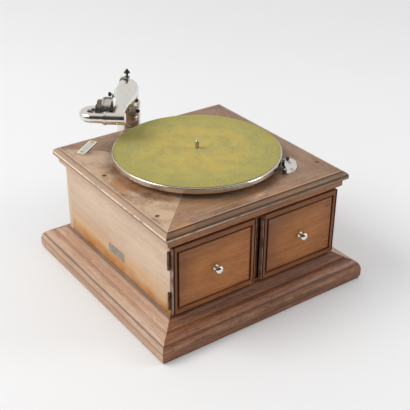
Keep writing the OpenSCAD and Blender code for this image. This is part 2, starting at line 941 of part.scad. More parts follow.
// Stylus frame: Z runs out from the box's centre along the bar, Y runs into the box
module at_stylus(out) {
    translate([-box_right, neck_span, 0])
        rotate([stylus_tilt - 90, 0, 0])
            translate([0, 0, out])
                rotate([0, 0, 90])
                    children();
}
chuck_r = 3;
chuck_len = 8;
bar_y = 0.4;
chuck_out = box_r + 3.2;
needle_r = 0.75;
screw_gap = 2.4;
module stylus_bar() {
    color(steel)
        at_neck()
            at_stylus(0)
                difference() {
                    union() {
                        translate([-1.2, bar_y, 0])
                            cube([2.4, 1.8, chuck_out + 1]);
                        translate([-1.2, bar_y, 0])
                            cube([2.4, gasket_z - bar_y - 0.7, 2.4]);
                        translate([0, bar_y - 1.4, chuck_out])
                            cylinder(r = chuck_r, h = chuck_len);
                        translate([-5, bar_y - 2, chuck_out - 0.1])
                            cube([10, 3.6, 1.8]);
                    }
                    translate([0, bar_y - 1.4, chuck_out + 2])
                        cylinder(r = needle_r + 0.02, h = chuck_len);
                    translate([0, bar_y - 1.4, chuck_out + chuck_len - 3.5])
                        rotate([-90, 0, 0])
                            cylinder(r = 1.15, h = 10);
                }
}
module needle_screw() {
    color(black)
        at_neck()
            at_stylus(chuck_out + chuck_len - 3.5)
                translate([0, bar_y - 1.4, 0])
                    rotate([-90, 0, 0]) {
                        translate([0, 0, needle_r + 0.2])
                            cylinder(r = 1.1, h = chuck_r + screw_gap);
                        translate([0, 0, chuck_r + screw_gap])
                            cylinder(r = 4, h = 4.6);
                    }
}
module needle() {
    tip = 3;
    color(steel)
        at_neck()
            at_stylus(chuck_out + 2.2)
                translate([0, bar_y - 1.4, 0]) {
                    cylinder(r = needle_r, h = needle_reach - chuck_out - 2.2 - tip);
                    translate([0, 0, needle_reach - chuck_out - 2.2 - tip - e])
                        cylinder(r1 = needle_r, r2 = 0.15, h = tip);
                }
}

// Turntable: pressed plate with a turned-down rim and a hub
platter_r = platter_d / 2;
felt_under = top_z + felt_z - felt_t;
hub_r = 15;
hub_h = 13;
rim_round = 2.4;
spindle_r = spindle_d / 2;
axle_r = spindle_r + 0.7;
module turntable() {
    color(nickel)
        translate([0, 0, felt_under])
            rotate_extrude($fn = 128)
                difference() {
                    union() {
                        translate([0, -2.4])
                            square([platter_r - rim_round, 2.4]);
                        translate([platter_r - rim_round, -rim_round])
                            circle(rim_round, $fn = 32);
                        translate([platter_r - 2.2, -rim_h])
                            square([2.2, rim_h - rim_round]);
                        translate([0, -hub_h])
                            square([hub_r, hub_h]);
                    }
                    translate([-e, -hub_h - 1])
                        square([axle_r + e, hub_h + 2]);
                }
}
module turntable_felt() {
    color([0.62, 0.60, 0.30])
        translate([0, 0, felt_under])
            difference() {
                cylinder(r = platter_r - rim_round - 0.3, h = felt_t, $fn = 128);
                translate([0, 0, -1])
                    cylinder(r = axle_r, h = felt_t + 2);
            }
}

// Gears with straight-sided short teeth
// teeth count, module size, thickness
module spur(teeth, size, thick) {
    r = teeth * size / 2;
    pitch = 360 / teeth;
    linear_extrude(thick)
        polygon([for (i = [0 : teeth - 1], k = [[-0.26, -1.15], [-0.12, 0.75], [0.12, 0.75], [0.26, -1.15]])
            (r + k[1] * size) * [cos((i + k[0]) * pitch), sin((i + k[0]) * pitch)]]);
}

idler_size = 1.25;
barrel_size = 1.5;
pinion_teeth = 12;
idler_teeth = 60;
barrel_teeth = 72;
train_up = 22;
idler_dist = (pinion_teeth + idler_teeth) * idler_size / 2;
barrel_mesh = (pinion_teeth + barrel_teeth) * barrel_size / 2;
idler_turn = acos((pow(idler_dist, 2) + pow(barrel_dist, 2) - pow(barrel_mesh, 2))
    / (2 * idler_dist * barrel_dist));
idler_dir = barrel_dir + idler_turn;
idler_x = idler_dist * cos(idler_dir);
idler_y = idler_dist * sin(idler_dir);
barrel_x = barrel_dist * cos(barrel_dir);
barrel_y = barrel_dist * sin(barrel_dir);
upper_plate_z = top_under - 3 - plate_t;
play = 0.06;
worm_drop = 33;
worm_wheel_z = upper_plate_z - worm_drop;
worm_wheel_r = 24;
worm_r = 4.6;
module spindle() {
    color(steel)
        difference() {
            union() {
                translate([0, 0, lower_plate_z - 1])
                    cylinder(r = axle_r, h = top_z + felt_z - lower_plate_z + 1);
                translate([0, 0, top_z + felt_z - e])
                    cylinder(r = spindle_r, h = spindle_up - 2 + e);
                translate([0, 0, top_z + felt_z + spindle_up - 2 - e])
                    cylinder(r1 = spindle_r, r2 = 1.8, h = 2);
                translate([0, 0, lower_plate_z + train_up])
                    rotate([0, 0, idler_dir])
                        spur(pinion_teeth, idler_size, 9);
                translate([0, 0, worm_wheel_z])
                    spur(44, 2 * (worm_wheel_r - 1) / 44, 7);
            }
            translate([0, 0, lower_plate_z - 2])
                cylinder(r = 1, h = 2);
        }
}
module idler() {
    color(brass)
        translate([idler_x, idler_y, 0]) {
            translate([0, 0, lower_plate_z + 0.5])
                cylinder(r = 3, h = upper_plate_z + plate_t - lower_plate_z - 1);
            translate([0, 0, lower_plate_z + train_up + 2])
                rotate([0, 0, idler_dir + 180 + 180 / idler_teeth])
                    spur(idler_teeth, idler_size, 5);
            translate([0, 0, barrel_gear_z - 2])
                rotate([0, 0, atan2(barrel_y - idler_y, barrel_x - idler_x)])
                    spur(pinion_teeth, barrel_size, 9);
        }
}
barrel_r = barrel_d / 2;
barrel_z = lower_plate_z + 36;
barrel_gear_z = barrel_z + barrel_h;
arbor_r = 7;
module spring_barrel() {
    wall = 2.5;
    color(iron)
        translate([barrel_x, barrel_y, 0])
            difference() {
                union() {
                    translate([0, 0, barrel_z])
                        cylinder(r = barrel_r, h = barrel_h);
                    translate([0, 0, barrel_gear_z - e])
                        rotate([0, 0, atan2(idler_y - barrel_y, idler_x - barrel_x) + 180 / barrel_teeth])
                            spur(barrel_teeth, barrel_size, 5);
                }
                translate([0, 0, barrel_z + wall])
                    cylinder(r = barrel_r - wall, h = barrel_h - 2 * wall);
                translate([0, 0, barrel_z - 1])
                    cylinder(r = arbor_r + play, h = barrel_h + 8);
            }
}
// Mainspring: one band wound in a spiral between the arbor and the barrel's wall
spring_turns = 6;
function spiral(a, off) = (arbor_r + 3 + off + (barrel_r - arbor_r - 6.5) * a / (360 * spring_turns)) * [cos(a), sin(a)];
module mainspring() {
    step = 18;
    last = 360 * spring_turns;
    color(steel)
        translate([barrel_x, barrel_y, barrel_z + 4])
            linear_extrude(barrel_h - 8)
                polygon(concat([for (a = [0 : step : last]) spiral(a, 0)],
                    [for (a = [last : -step : 0]) spiral(a, 0.9)]));
}
// Arbor with its crown wheel, turned by the pinion on the winding shaft
crown_teeth = 32;
wind_size = 1.5;
crown_r = crown_teeth * wind_size / 2;
crown_w = 5;
wind_teeth = 10;
wind_r = wind_teeth * wind_size / 2;
crown_z = lower_plate_z + 10;
shaft_z = crown_z + 4.8 + wind_r;
module barrel_arbor() {
    color(steel)
        translate([barrel_x, barrel_y, 0]) {
            translate([0, 0, lower_plate_z + 0.5])
                cylinder(r = 4.5, h = upper_plate_z + plate_t - lower_plate_z - 1);
            translate([0, 0, crown_z])
                cylinder(r = arbor_r, h = barrel_gear_z + 8 - crown_z);
            translate([0, 0, crown_z])
                cylinder(r = crown_r + crown_w / 2, h = 3);
            for (i = [0 : crown_teeth - 1])
                rotate([0, 0, i * 360 / crown_teeth])
                    translate([crown_r - crown_w / 2, -0.8, crown_z + 3 - e])
                        cube([crown_w, 1.6, 2.6]);
        }
}
shaft_r = 5;
bush_r = 8;
bush_out = 2.5;
shaft_end = half_w + 26;
module winding_shaft() {
    color(steel)
        translate([0, barrel_y, shaft_z]) {
            translate([barrel_x + crown_r + crown_w / 2, 0, 0])
                rotate([0, 90, 0])
                    cylinder(r = shaft_r, h = shaft_end - barrel_x - crown_r - crown_w / 2);
            translate([barrel_x + crown_r - crown_w / 2 - e, 0, 0])
                rotate([0, 90, 0])
                    rotate([0, 0, 180 / wind_teeth])
                        spur(wind_teeth, wind_size, crown_w + 2 * e);
        }
}
module winding_escutcheon() {
    color(brass)
        translate([half_w - 8, barrel_y, shaft_z])
            rotate([0, 90, 0])
                difference() {
                    union() {
                        cylinder(r = bush_r, h = 8 + e);
                        translate([0, 0, 8])
                            cylinder(r = 15, h = bush_out);
                    }
                    translate([0, 0, -1])
                        cylinder(r = shaft_r + play, h = 20);
                }
}
// Crank: socket screwed over the shaft's end, an arm clear of the plinth and the grip's pin
arm_bar_t = 7;
crank_x = half_w + crank_out;
grip_pin_r = 3.5;
module crank() {
    color(nickel)
        translate([0, barrel_y, shaft_z])
            difference() {
                union() {
                    translate([half_w + bush_out + 1, 0, 0])
                        rotate([0, 90, 0])
                            cylinder(r = 8.5, h = shaft_end - half_w - bush_out + 2);
                    translate([shaft_end, 0, 0])
                        rotate([0, 90, 0])
                            cylinder(r = 6, h = crank_x - shaft_end + 2);
                    translate([crank_x, -7, -crank_throw])
                        cube([arm_bar_t, 14, crank_throw]);
                    for (z = [0, -crank_throw])
                        translate([crank_x, 0, z])
                            rotate([0, 90, 0])
                                cylinder(r = 9, h = arm_bar_t);
                    translate([crank_x, 0, -crank_throw])
                        rotate([0, 90, 0])
                            cylinder(r = grip_pin_r, h = arm_bar_t + grip_len - 6);
                }
                translate([half_w, 0, 0])
                    rotate([0, 90, 0])
                        cylinder(r = shaft_r, h = shaft_end - half_w);
            }
}
module crank_grip() {
    r = grip_d / 2;
    color(oak_dark)
        translate([crank_x + arm_bar_t + 0.5, barrel_y, shaft_z - crank_throw])
            rotate([0, 90, 0])
                rotate_extrude()
                    polygon([[grip_pin_r + play, 0], [r * 0.72, 0], [r * 0.78, grip_len * 0.12],
                        [r * 0.97, grip_len * 0.4], [r, grip_len * 0.62], [r * 0.92, grip_len * 0.85],
                        [r * 0.7, grip_len * 0.96], [r * 0.3, grip_len], [0, grip_len],
                        [0, grip_len - 5.5], [grip_pin_r + play, grip_len - 5.5]]);
}

// Motor plates, their pillars and the bolts that hang the motor under the top board
motor_x0 = -62;
motor_x1 = 148;
motor_y0 = -44;
motor_y1 = 110;
bolt_r = 2.5;
bolt_head_r = 5;
bolt_head_h = 3;
bolt_in = 10;
bolt_points = [for (x = [motor_x0 + bolt_in, motor_x1 - bolt_in - 40], y = [motor_y0 + bolt_in, motor_y1 - bolt_in]) [x, y]];
pillar_points = [for (x = [motor_x0 + 10, motor_x1 - 6], y = [motor_y0 + 24, motor_y1 - 22]) [x, y]];
module motor_plate(z, holes) {
    difference() {
        translate([motor_x0, motor_y0, z])
            cube([motor_x1 - motor_x0, motor_y1 - motor_y0, plate_t]);
        for (h = holes)
            translate([h[0], h[1], z - 1])
                cylinder(r = h[2], h = plate_t + 2);
    }
}
shaft_holes = [[0, 0, axle_r + play], [idler_x, idler_y, 3 + play], [barrel_x, barrel_y, 4.5 + play]];
module upper_plate() {
    color(iron)
        union() {
            motor_plate(upper_plate_z, concat(shaft_holes,
                [for (p = bolt_points) [p[0], p[1], bolt_r + 0.3]],
                [for (p = pillar_points) [p[0], p[1], 2.5]]));
            for (y = governor_ends)
                difference() {
                    translate([governor_x - 5, y - 2, governor_z - 7])
                        cube([10, 4, upper_plate_z - governor_z + 7]);
                    translate([governor_x, y - 3, governor_z])
                        rotate([-90, 0, 0])
                            cylinder(r = governor_pin_r + play, h = 6);
                }
        }
}
// The lower plate with its riveted pillars and the winding shaft's two bearings
bearing_xs = [motor_x1 - 36, motor_x1 - 5];
module lower_plate() {
    color(iron)
        union() {
            motor_plate(lower_plate_z, shaft_holes);
            for (p = pillar_points)
                translate([p[0], p[1], lower_plate_z + plate_t - e]) {
                    cylinder(r = 4.5, h = upper_plate_z - lower_plate_z - plate_t + e);
                    cylinder(r = 2.5, h = upper_plate_z - lower_plate_z + 1);
                }
            for (x = bearing_xs)
                difference() {
                    translate([x, barrel_y - 8, lower_plate_z + plate_t - e])
                        cube([4, 16, shaft_z + 8 - lower_plate_z - plate_t]);
                    translate([x - 1, barrel_y, shaft_z])
                        rotate([0, 90, 0])
                            cylinder(r = shaft_r + play, h = 6);
                }
        }
}
module motor_bolts() {
    color(steel)
        for (p = bolt_points)
            translate([p[0], p[1], 0]) {
                translate([0, 0, upper_plate_z - 7])
                    cylinder(r = bolt_r, h = top_z - bolt_head_h - upper_plate_z + 7);
                translate([0, 0, top_z - bolt_head_h - 0.5])
                    cylinder(r = bolt_head_r, h = bolt_head_h);
                translate([0, 0, upper_plate_z + plate_t])
                    cylinder(r = 7, h = top_under - upper_plate_z - plate_t);
                translate([0, 0, upper_plate_z - 4])
                    cylinder(r = 4.6, h = 4, $fn = 6);
            }
}

// Governor: worm, three weights on flat springs and the friction disc, on one shaft
governor_x = -worm_wheel_r - worm_r - 0.4;
governor_z = worm_wheel_z + 3.5;
governor_ends = [-34, 62];
disc_back = 29;
governor_pin_r = 1.8;
module governor() {
    color(brass)
        translate([governor_x, 0, governor_z])
            rotate([-90, 0, 0]) {
                translate([0, 0, governor_ends[0] + 2.5])
                    cylinder(r = 2.6, h = governor_ends[1] - governor_ends[0] - 5);
                translate([0, 0, governor_ends[0] - 1.5])
                    cylinder(r = governor_pin_r, h = governor_ends[1] - governor_ends[0] + 3);
                for (i = [0 : 7])
                    translate([0, 0, -9 + i * 2.4])
                        cylinder(r1 = worm_r, r2 = worm_r - 1.6, h = 1.2);
                for (y = [22, 50])
                    translate([0, 0, y])
                        cylinder(r = 6, h = 5);
                translate([0, 0, -disc_back])
                    cylinder(r = 17, h = 2);
                for (a = [0, 120, 240])
                    rotate([0, 0, a]) {
                        translate([5, -2.5, 23.5])
                            cube([0.9, 5, 30]);
                        translate([10, 0, 38.5])
                            rotate([0, -90, 0])
                                cylinder(r = 5.2, h = 4.6);
                    }
            }
}

// Brake: a nickel plate beside the turntable with a lever that carries a leather pad
module at_brake(out, along) {
    rotate([0, 0, brake_dir])
        translate([brake_r + out, along, 0])
            children();
}
plate_edge = [[-11.4, 15], [1.7, 23.3], [11.7, 9.6], [14.1, -14.5], [11.4, -26], [-1, -42.3],
    [-11.2, -39], [-11.6, -27], [-8.5, -16], [-8.5, -7.6], [-10.6, 3.6]];
plate_round = 3;
plate_floor = 1.4;
lip_w = 1.2;
brake_t = 1.9;
lever_out = -8;
lever_pivot = -33;
lever_t = 1.6;
stud_r = 2;
speed_out = -3.5;
speed_along = 16;
speed_stem_r = 2;
plate_screws = [[5.5, -22], [1, 4]];
module plate_outline(inset) {
    offset(delta = -inset)
        offset(r = plate_round)
            offset(delta = -plate_round)
                polygon(plate_edge);
}
module brake_plate() {
    color(nickel)
        translate([0, 0, top_z])
            difference() {
                union() {
                    at_brake(0, 0)
                        linear_extrude(brake_t)
                            plate_outline(0);
                    at_brake(lever_out, lever_pivot) {
                        cylinder(r = stud_r, h = brake_t + 0.4 + lever_t + 0.5);
                        translate([0, 0, brake_t + 0.4 + lever_t + 0.3])
                            cylinder(r = stud_r + 0.8, h = 1);
                    }
                }
                difference() {
                    at_brake(0, 0)
                        translate([0, 0, plate_floor])
                            linear_extrude(1)
                                plate_outline(lip_w);
                    at_brake(lever_out, lever_pivot)
                        cylinder(r = stud_r, h = 10);
                }
                at_brake(speed_out, speed_along)
                    translate([0, 0, -1])
                        cylinder(r = speed_stem_r + 0.06, h = 6);
                for (p = plate_screws)
                    at_brake(p[0], p[1])
                        translate([0, 0, -1])
                            cylinder(r = screw_r, h = 6);
            }
}
pad_gap = 0.4;
pad_t = 3;
pad_face = platter_r - brake_r + pad_gap;
module brake_lever() {
    color(black)
        translate([0, 0, top_z + brake_t + 0.4])
            difference() {
                union() {
                    at_brake(0, 0)
                        linear_extrude(lever_t)
                            polygon([[pad_face + pad_t, -14], [-7.8, -14], [-6, -25], [-4.2, -31], [-3.8, -36],
                                [-5.2, -42], [-9.6, -42], [-11.4, -36], [-11.4, -30], [pad_face + pad_t, -26]]);
                    at_brake(pad_face + pad_t, -26)
                        cube([1.6, 12, 13.4]);
                    at_brake(pad_face, -25)
                        translate([0, 0, 5])
                            cube([pad_t + e, 10, 8]);
                }
                at_brake(lever_out, lever_pivot)
                    translate([0, 0, -1])
                        cylinder(r = stud_r + play, h = 8);
            }
}
// Speed control: a slotted stud through the plate and board, down to the regulator's rod
module speed_control() {
    color(black)
        at_brake(speed_out, speed_along)
            difference() {
                union() {
                    translate([0, 0, upper_plate_z + 2])
                        cylinder(r = speed_stem_r, h = top_z - upper_plate_z + 2);
                    translate([0, 0, top_z + brake_t + 0.3])
                        cylinder(r = 3, h = 2.6);
                    translate([0, 0, upper_plate_z - 1])
                        cylinder(r = 6, h = 3);
                }
                translate([-6, -0.6, top_z + brake_t + 1.9])
                    cube([12, 1.2, 3]);
            }
}

plinth_front();
plinth_back();
plinth_left();
plinth_right();
bottom_board();
left_side();
right_side();
back_panel();
front_frame();
cornice();
top_board();
top_screws();
name_plate();
corner_plate();
left_door_frame();
left_door_panel();
left_knob();
right_door_frame();
right_door_panel();
right_knob();
case_hinge_leaves();
left_door_leaves();
right_door_leaves();
hinge_pins();
horn();
sound_conduit();
conduit_screws();
pivot_bracket();
pivot_screw();
arm_elbow();
arm_screw();
tone_arm();
cross_tube();
goose_neck();
box_isolator();
box_back();
box_case();
box_gaskets();
diaphragm();
stylus_bar();
needle_screw();
needle();
turntable();
turntable_felt();
spindle();
upper_plate();
lower_plate();
motor_bolts();
idler();
spring_barrel();
mainspring();
barrel_arbor();
governor();
winding_shaft();
winding_escutcheon();
crank();
crank_grip();
brake_plate();
brake_lever();
speed_control();
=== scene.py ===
import math

import bmesh
import bpy
from mathutils import Matrix, Vector


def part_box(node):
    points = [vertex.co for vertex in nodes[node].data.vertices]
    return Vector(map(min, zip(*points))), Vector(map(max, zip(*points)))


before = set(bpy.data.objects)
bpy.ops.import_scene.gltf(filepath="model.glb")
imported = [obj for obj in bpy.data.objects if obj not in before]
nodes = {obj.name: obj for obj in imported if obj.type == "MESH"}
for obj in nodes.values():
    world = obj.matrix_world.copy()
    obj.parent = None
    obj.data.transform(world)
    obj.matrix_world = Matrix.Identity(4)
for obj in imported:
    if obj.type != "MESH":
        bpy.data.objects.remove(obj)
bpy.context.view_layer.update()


# Plinth: four lengths of stained oak, mitred at the corners, with a sloping top, a step and a
# quarter round worked along each. Waxed, with painted shade in the quirks, and rubbed pale on the
# arrises. The side lengths are coloured paler and greyer than the front, partly their own tone and
# partly a painted glare.
class Finish:
    """One finish of the gramophone, built from the place of each point on the object."""

    def __init__(self, name, rough, metal=0.0, **fixed):
        self.material = bpy.data.materials.new(name)
        self.material.use_nodes = True
        self.tree = self.material.node_tree
        self.tree.nodes.clear()
        self.out = self.tree.nodes.new("ShaderNodeOutputMaterial")
        self.skin = self.tree.nodes.new("ShaderNodeBsdfPrincipled")
        self.tree.links.new(self.skin.outputs[0], self.out.inputs["Surface"])
        self.skin.inputs["Roughness"].default_value = rough
        self.skin.inputs["Metallic"].default_value = metal
        for socket, value in fixed.items():
            self.skin.inputs[socket.replace("_", " ")].default_value = value
        self.place = self.tree.nodes.new("ShaderNodeTexCoord").outputs["Object"]

    def put(self, socket, value):
        if hasattr(value, "is_output"):
            self.tree.links.new(value, socket)
        else:
            socket.default_value = value

    def math(self, work, a, b=0.0):
        n = self.tree.nodes.new("ShaderNodeMath")
        n.operation = work
        for socket, value in zip(n.inputs, (a, b)):
            self.put(socket, value)
        return n.outputs[0]

    def stretch(self, vector, scale, turn=(0, 0, 0), shift=(0, 0, 0)):
        n = self.tree.nodes.new("ShaderNodeMapping")
        self.put(n.inputs["Vector"], vector)
        n.inputs["Location"].default_value = shift
        n.inputs["Rotation"].default_value = turn
        n.inputs["Scale"].default_value = scale
        return n.outputs[0]

    def noise(self, vector, scale, detail=3.0, rough=0.55, warp=0.0):
        n = self.tree.nodes.new("ShaderNodeTexNoise")
        self.put(n.inputs["Vector"], self.stretch(vector, scale) if isinstance(scale, tuple) else vector)
        n.inputs["Scale"].default_value = 1.0 if isinstance(scale, tuple) else scale
        n.inputs["Detail"].default_value = detail
        n.inputs["Roughness"].default_value = rough
        n.inputs["Distortion"].default_value = warp
        return n.outputs["Fac"]

    def span(self, value, low, high, to_low=0.0, to_high=1.0):
        n = self.tree.nodes.new("ShaderNodeMapRange")
        n.clamp = True
        for socket, v in zip(n.inputs, (value, low, high, to_low, to_high)):
            self.put(socket, v)
        return n.outputs[0]

    def tones(self, value, *stops):
        n = self.tree.nodes.new("ShaderNodeValToRGB")
        ramp = n.color_ramp
        while len(ramp.elements) < len(stops):
            ramp.elements.new(0.5)
        for element, (at, colour) in zip(ramp.elements, stops):
            element.position = at
            element.color = (*colour, 1)
        self.put(n.inputs[0], value)
        return n.outputs[0]

    def blend(self, share, a, b, how="MIX"):
        n = self.tree.nodes.new("ShaderNodeMix")
        n.data_type = "RGBA"
        n.blend_type = how
        n.clamp_factor = True
        self.put(n.inputs[0], share)
        for socket, v in ((n.inputs[6], a), (n.inputs[7], b)):
            self.put(socket, (*v, 1) if isinstance(v, tuple) else v)
        return n.outputs[2]

    def split(self, vector):
        n = self.tree.nodes.new("ShaderNodeSeparateXYZ")
        self.put(n.inputs[0], vector)
        return n.outputs

    def join(self, x, y, z):
        n = self.tree.nodes.new("ShaderNodeCombineXYZ")
        for socket, v in zip(n.inputs, (x, y, z)):
            self.put(socket, v)
        return n.outputs[0]

    def bump(self, height, depth):
        n = self.tree.nodes.new("ShaderNodeBump")
        n.inputs["Strength"].default_value = 1.0
        n.inputs["Distance"].default_value = depth
        self.put(n.inputs["Height"], height)
        return n.outputs[0]

    def show(self, colour, rough=None, relief=None):
        self.put(self.skin.inputs["Base Color"], colour)
        if rough is not None:
            self.put(self.skin.inputs["Roughness"], rough)
        if relief is not None:
            self.put(self.skin.inputs["Normal"], relief)
        return self.material


def grain_along(f, way, middle=(0, 0, 0), slope=1.0):
    """The point on the object, turned to have the grain's direction first, also round mitres."""
    x, y, z = f.split(f.place)
    if way == "x":
        return f.join(x, y, z)
    if way == "y":
        return f.join(y, x, z)
    if way == "z":
        return f.join(z, x, y)
    p, q, r = (x, y, z) if way == "mitre_top" else (x, z, y)
    cp, cq = (middle[0], middle[1]) if way == "mitre_top" else (middle[0], middle[2])
    dp = f.math("ABSOLUTE", f.math("SUBTRACT", p, cp))
    dq = f.math("ABSOLUTE", f.math("SUBTRACT", q, cq))
    side = f.math("GREATER_THAN", f.math("MULTIPLY", dp, slope), dq)
    along = f.math("ADD", f.math("MULTIPLY", side, q), f.math("MULTIPLY", f.math("SUBTRACT", 1.0, side), p))
    across = f.math("ADD", f.math("MULTIPLY", side, p), f.math("MULTIPLY", f.math("SUBTRACT", 1.0, side), q))
    return f.join(f.math("ADD", along, f.math("MULTIPLY", side, 0.37)), across, r)


ring_pitch = 1150.0


def oak(name, way, pale, mid, deep, rough=0.42, middle=(0, 0, 0), slope=1.0, marks_and_painted_light=None, rub=None,
        fleck=0.18, shine=0.22, pore=0.5, flame=0.5):
    """Stained oak: its figure and rings along the grain, with open pores and ray flecks."""
    f = Finish(name, rough, Specular_IOR_Level=shine)
    v = grain_along(f, way, middle, slope)
    across = f.split(v)
    swirl = f.math("MULTIPLY", f.noise(v, (4.2, 17, 17), 2, 0.5), 44.0)
    even = f.math("MULTIPLY", f.math("ADD", across[1], across[2]), ring_pitch)
    wave = f.math("SINE", f.math("ADD", even, swirl))
    rings = f.math("POWER", f.span(wave, -1.0, 1.0), 3.0)
    figure = f.noise(v, (3.4, 44, 44), 5, 0.62, 0.35)
    streak = f.noise(v, (13, 470, 470), 3, 0.65)
    broad = f.noise(f.place, 7.0, 2)
    pores = f.span(f.noise(v, (75, 820, 820), 2, 0.55), 0.56, 0.66)
    broken = f.span(f.noise(v, (30, 240, 240), 2, 0.6), 0.36, 0.60)
    rays = f.span(f.noise(v, (60, 140, 520), 1, 0.4), 0.64, 0.72)
    grain = f.math("ADD", f.math("MULTIPLY", figure, 0.52), f.math("MULTIPLY", streak, 0.48))
    colour = f.tones(grain, (0.36, deep), (0.50, mid), (0.64, pale))
    lines = f.math("MULTIPLY", f.math("MULTIPLY", rings, broken), flame)
    colour = f.blend(lines, colour, tuple(c * 0.85 for c in deep))
    colour = f.blend(f.math("MULTIPLY", pores, pore), colour, tuple(c * 0.42 for c in deep))
    colour = f.blend(f.math("MULTIPLY", rays, fleck), colour, tuple(min(1, c * 1.3) for c in pale))
    colour = f.blend(f.span(broad, 0.35, 0.68, 0.0, 0.30), colour, tuple(c * 0.8 for c in deep))
    # Marks laid over the grain: real marks, and painted shade and light.
    if marks_and_painted_light:
        colour = marks_and_painted_light(f, colour)
    if rub:
        colour = rub(f, colour)
    sheen = f.span(f.math("ADD", f.math("MULTIPLY", broad, 0.5), f.math("MULTIPLY", figure, 0.5)),
                   0.3, 0.7, rough + 0.10, rough - 0.08)
    relief = f.bump(f.math("SUBTRACT", f.math("MULTIPLY", streak, 0.35), pores), 0.00014)
    return f.show(colour, sheen, relief)


def dress(names, material):
    """Gives pieces their finish."""
    for name in names.split():
        piece = nodes[name]
        if not piece.material_slots:
            piece.data.materials.append(material)
        for place in piece.material_slots:
            place.material = material


def ease(names, width):
    """Breaks the sharp arrises of a piece by a small round, as sandpaper does."""
    for name in names.split():
        m = nodes[name].modifiers.new("eased_arris", "BEVEL")
        m.width = width
        m.segments = 2
        m.limit_method = "ANGLE"
        m.angle_limit = math.radians(40)
        m.harden_normals = False


def worn_arris(height, band, strength=0.6):
    """Rubbed pale along a level arris, more in some lengths than in others."""
    def rub(f, colour):
        z = f.split(f.place)[2]
        near = f.span(f.math("ABSOLUTE", f.math("SUBTRACT", z, height)), 0.0, band, 1.0, 0.0)
        patch = f.span(f.noise(f.place, 38.0, 4, 0.7), 0.40, 0.62)
        share = f.math("MULTIPLY", f.math("MULTIPLY", near, patch), strength)
        return f.blend(share, colour, (0.52, 0.34, 0.21))
    return rub


def quirk_shade(heights, band=0.0022, strength=0.75):
    """Painted shade: dark lines along the level quirks of a moulding."""
    def marks_and_painted_light(f, colour):
        z = f.split(f.place)[2]
        share = 0.0
        for height in heights:
            near = f.span(f.math("ABSOLUTE", f.math("SUBTRACT", z, height)), 0.0, band, strength, 0.0)
            share = f.math("MAXIMUM", near, share)
        return f.blend(share, colour, (0.055, 0.028, 0.016))
    return marks_and_painted_light


plinth_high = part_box("plinth_front")[1]
fillet_top = 0.020
step_depth = 0.0225
# Painted shade in the plinth's quirks: over the lower fillet, under the step and along its top, under the
# case.
plinth_quirks = quirk_shade([fillet_top, plinth_high.z - step_depth, plinth_high.z - 0.001])
plinth_wear = worn_arris(fillet_top + 0.002, 0.007, 0.35)
front_tones = dict(pale=(0.40, 0.170, 0.078), mid=(0.270, 0.106, 0.047), deep=(0.095, 0.032, 0.015))
# Paler, greyer tones for the side lengths: partly their own tone and partly painted glare.
side_tones_with_glare = dict(pale=(0.61, 0.445, 0.335), mid=(0.51, 0.335, 0.235), deep=(0.40, 0.210, 0.115))
plinth_care = dict(rough=0.34, marks_and_painted_light=plinth_quirks, rub=plinth_wear)
dress("plinth_front plinth_back", oak("waxed_oak_front_plinth", "x", **front_tones, **plinth_care,
                                      shine=0.4, pore=0.7))
dress("plinth_left plinth_right", oak("waxed_oak_side_plinth", "y", **side_tones_with_glare, **plinth_care,
                                      pore=0.35, flame=0.25))
ease("plinth_front plinth_back plinth_left plinth_right", 0.0006)


# Bottom board and horn: unpolished wood inside the case. The horn is nailed up from thin boards
# and runs from the throat at the back to the mouth behind the doors.
def bare_wood(name, way):
    f = Finish(name, 0.75)
    v = grain_along(f, way)
    grain = f.noise(v, (4, 60, 60), 4, 0.6, 0.3)
    fine = f.noise(v, (20, 700, 700), 2, 0.6)
    both = f.math("ADD", f.math("MULTIPLY", grain, 0.6), f.math("MULTIPLY", fine, 0.4))
    colour = f.tones(both, (0.30, (0.16, 0.095, 0.055)), (0.55, (0.30, 0.20, 0.125)),
                     (0.75, (0.40, 0.28, 0.18)))
    dust_and_painted_shade = f.span(f.noise(f.place, 18.0, 3), 0.45, 0.7, 0.0, 0.35)
    colour = f.blend(dust_and_painted_shade, colour, (0.34, 0.30, 0.26))
    return f.show(colour, f.span(fine, 0.3, 0.7, 0.85, 0.65), f.bump(fine, 0.0003))


dress("bottom_board", bare_wood("rough_pine", "x"))
dress("horn", bare_wood("horn_boards", "y"))


# Case: two sides and a back board of veneered oak, stained and waxed. The sides are coloured
# paler and greyer than the front, partly their own tone and partly a painted glare, but for an
# amber band along the foot.
case_low, case_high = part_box("left_side")


def side_marks(f, colour):
    """Amber wax left along the foot, a few scuffs, and a little shade under the top."""
    y, z = f.split(f.place)[1:]
    wander = f.math("SUBTRACT", f.noise(f.place, (30, 16, 60), 4, 0.6), 0.5)
    ragged = f.math("ADD", z, f.math("MULTIPLY", wander, 0.022))
    patch = f.span(f.noise(f.place, (30, 26, 50), 4, 0.65), 0.36, 0.58, 0.62, 1.0)
    amber = f.math("MULTIPLY", f.span(ragged, plinth_high.z + 0.012, plinth_high.z + 0.062, 1.0, 0.0), patch)
    glow = f.tones(f.span(ragged, plinth_high.z, plinth_high.z + 0.034), (0.0, (0.37, 0.140, 0.030)),
                   (0.50, (0.54, 0.235, 0.050)), (1.0, (0.60, 0.34, 0.140)))
    colour = f.blend(amber, colour, glow)
    scuff = f.span(f.noise(f.place, (30, 14, 90), 4, 0.7), 0.60, 0.72, 0.0, 0.30)
    colour = f.blend(scuff, colour, (0.74, 0.60, 0.47))
    shade = f.math("MAXIMUM", f.span(z, case_high.z - 0.022, case_high.z - 0.004, 0.0, 0.45),
                   f.span(f.noise(f.place, (20, 9, 26), 3), 0.50, 0.72, 0.0, 0.28))
    colour = f.blend(shade, colour, (0.46, 0.32, 0.23))
    foot = f.span(z, plinth_high.z, plinth_high.z + 0.0025, 0.7, 0.0)
    return f.blend(foot, colour, (0.10, 0.045, 0.022))


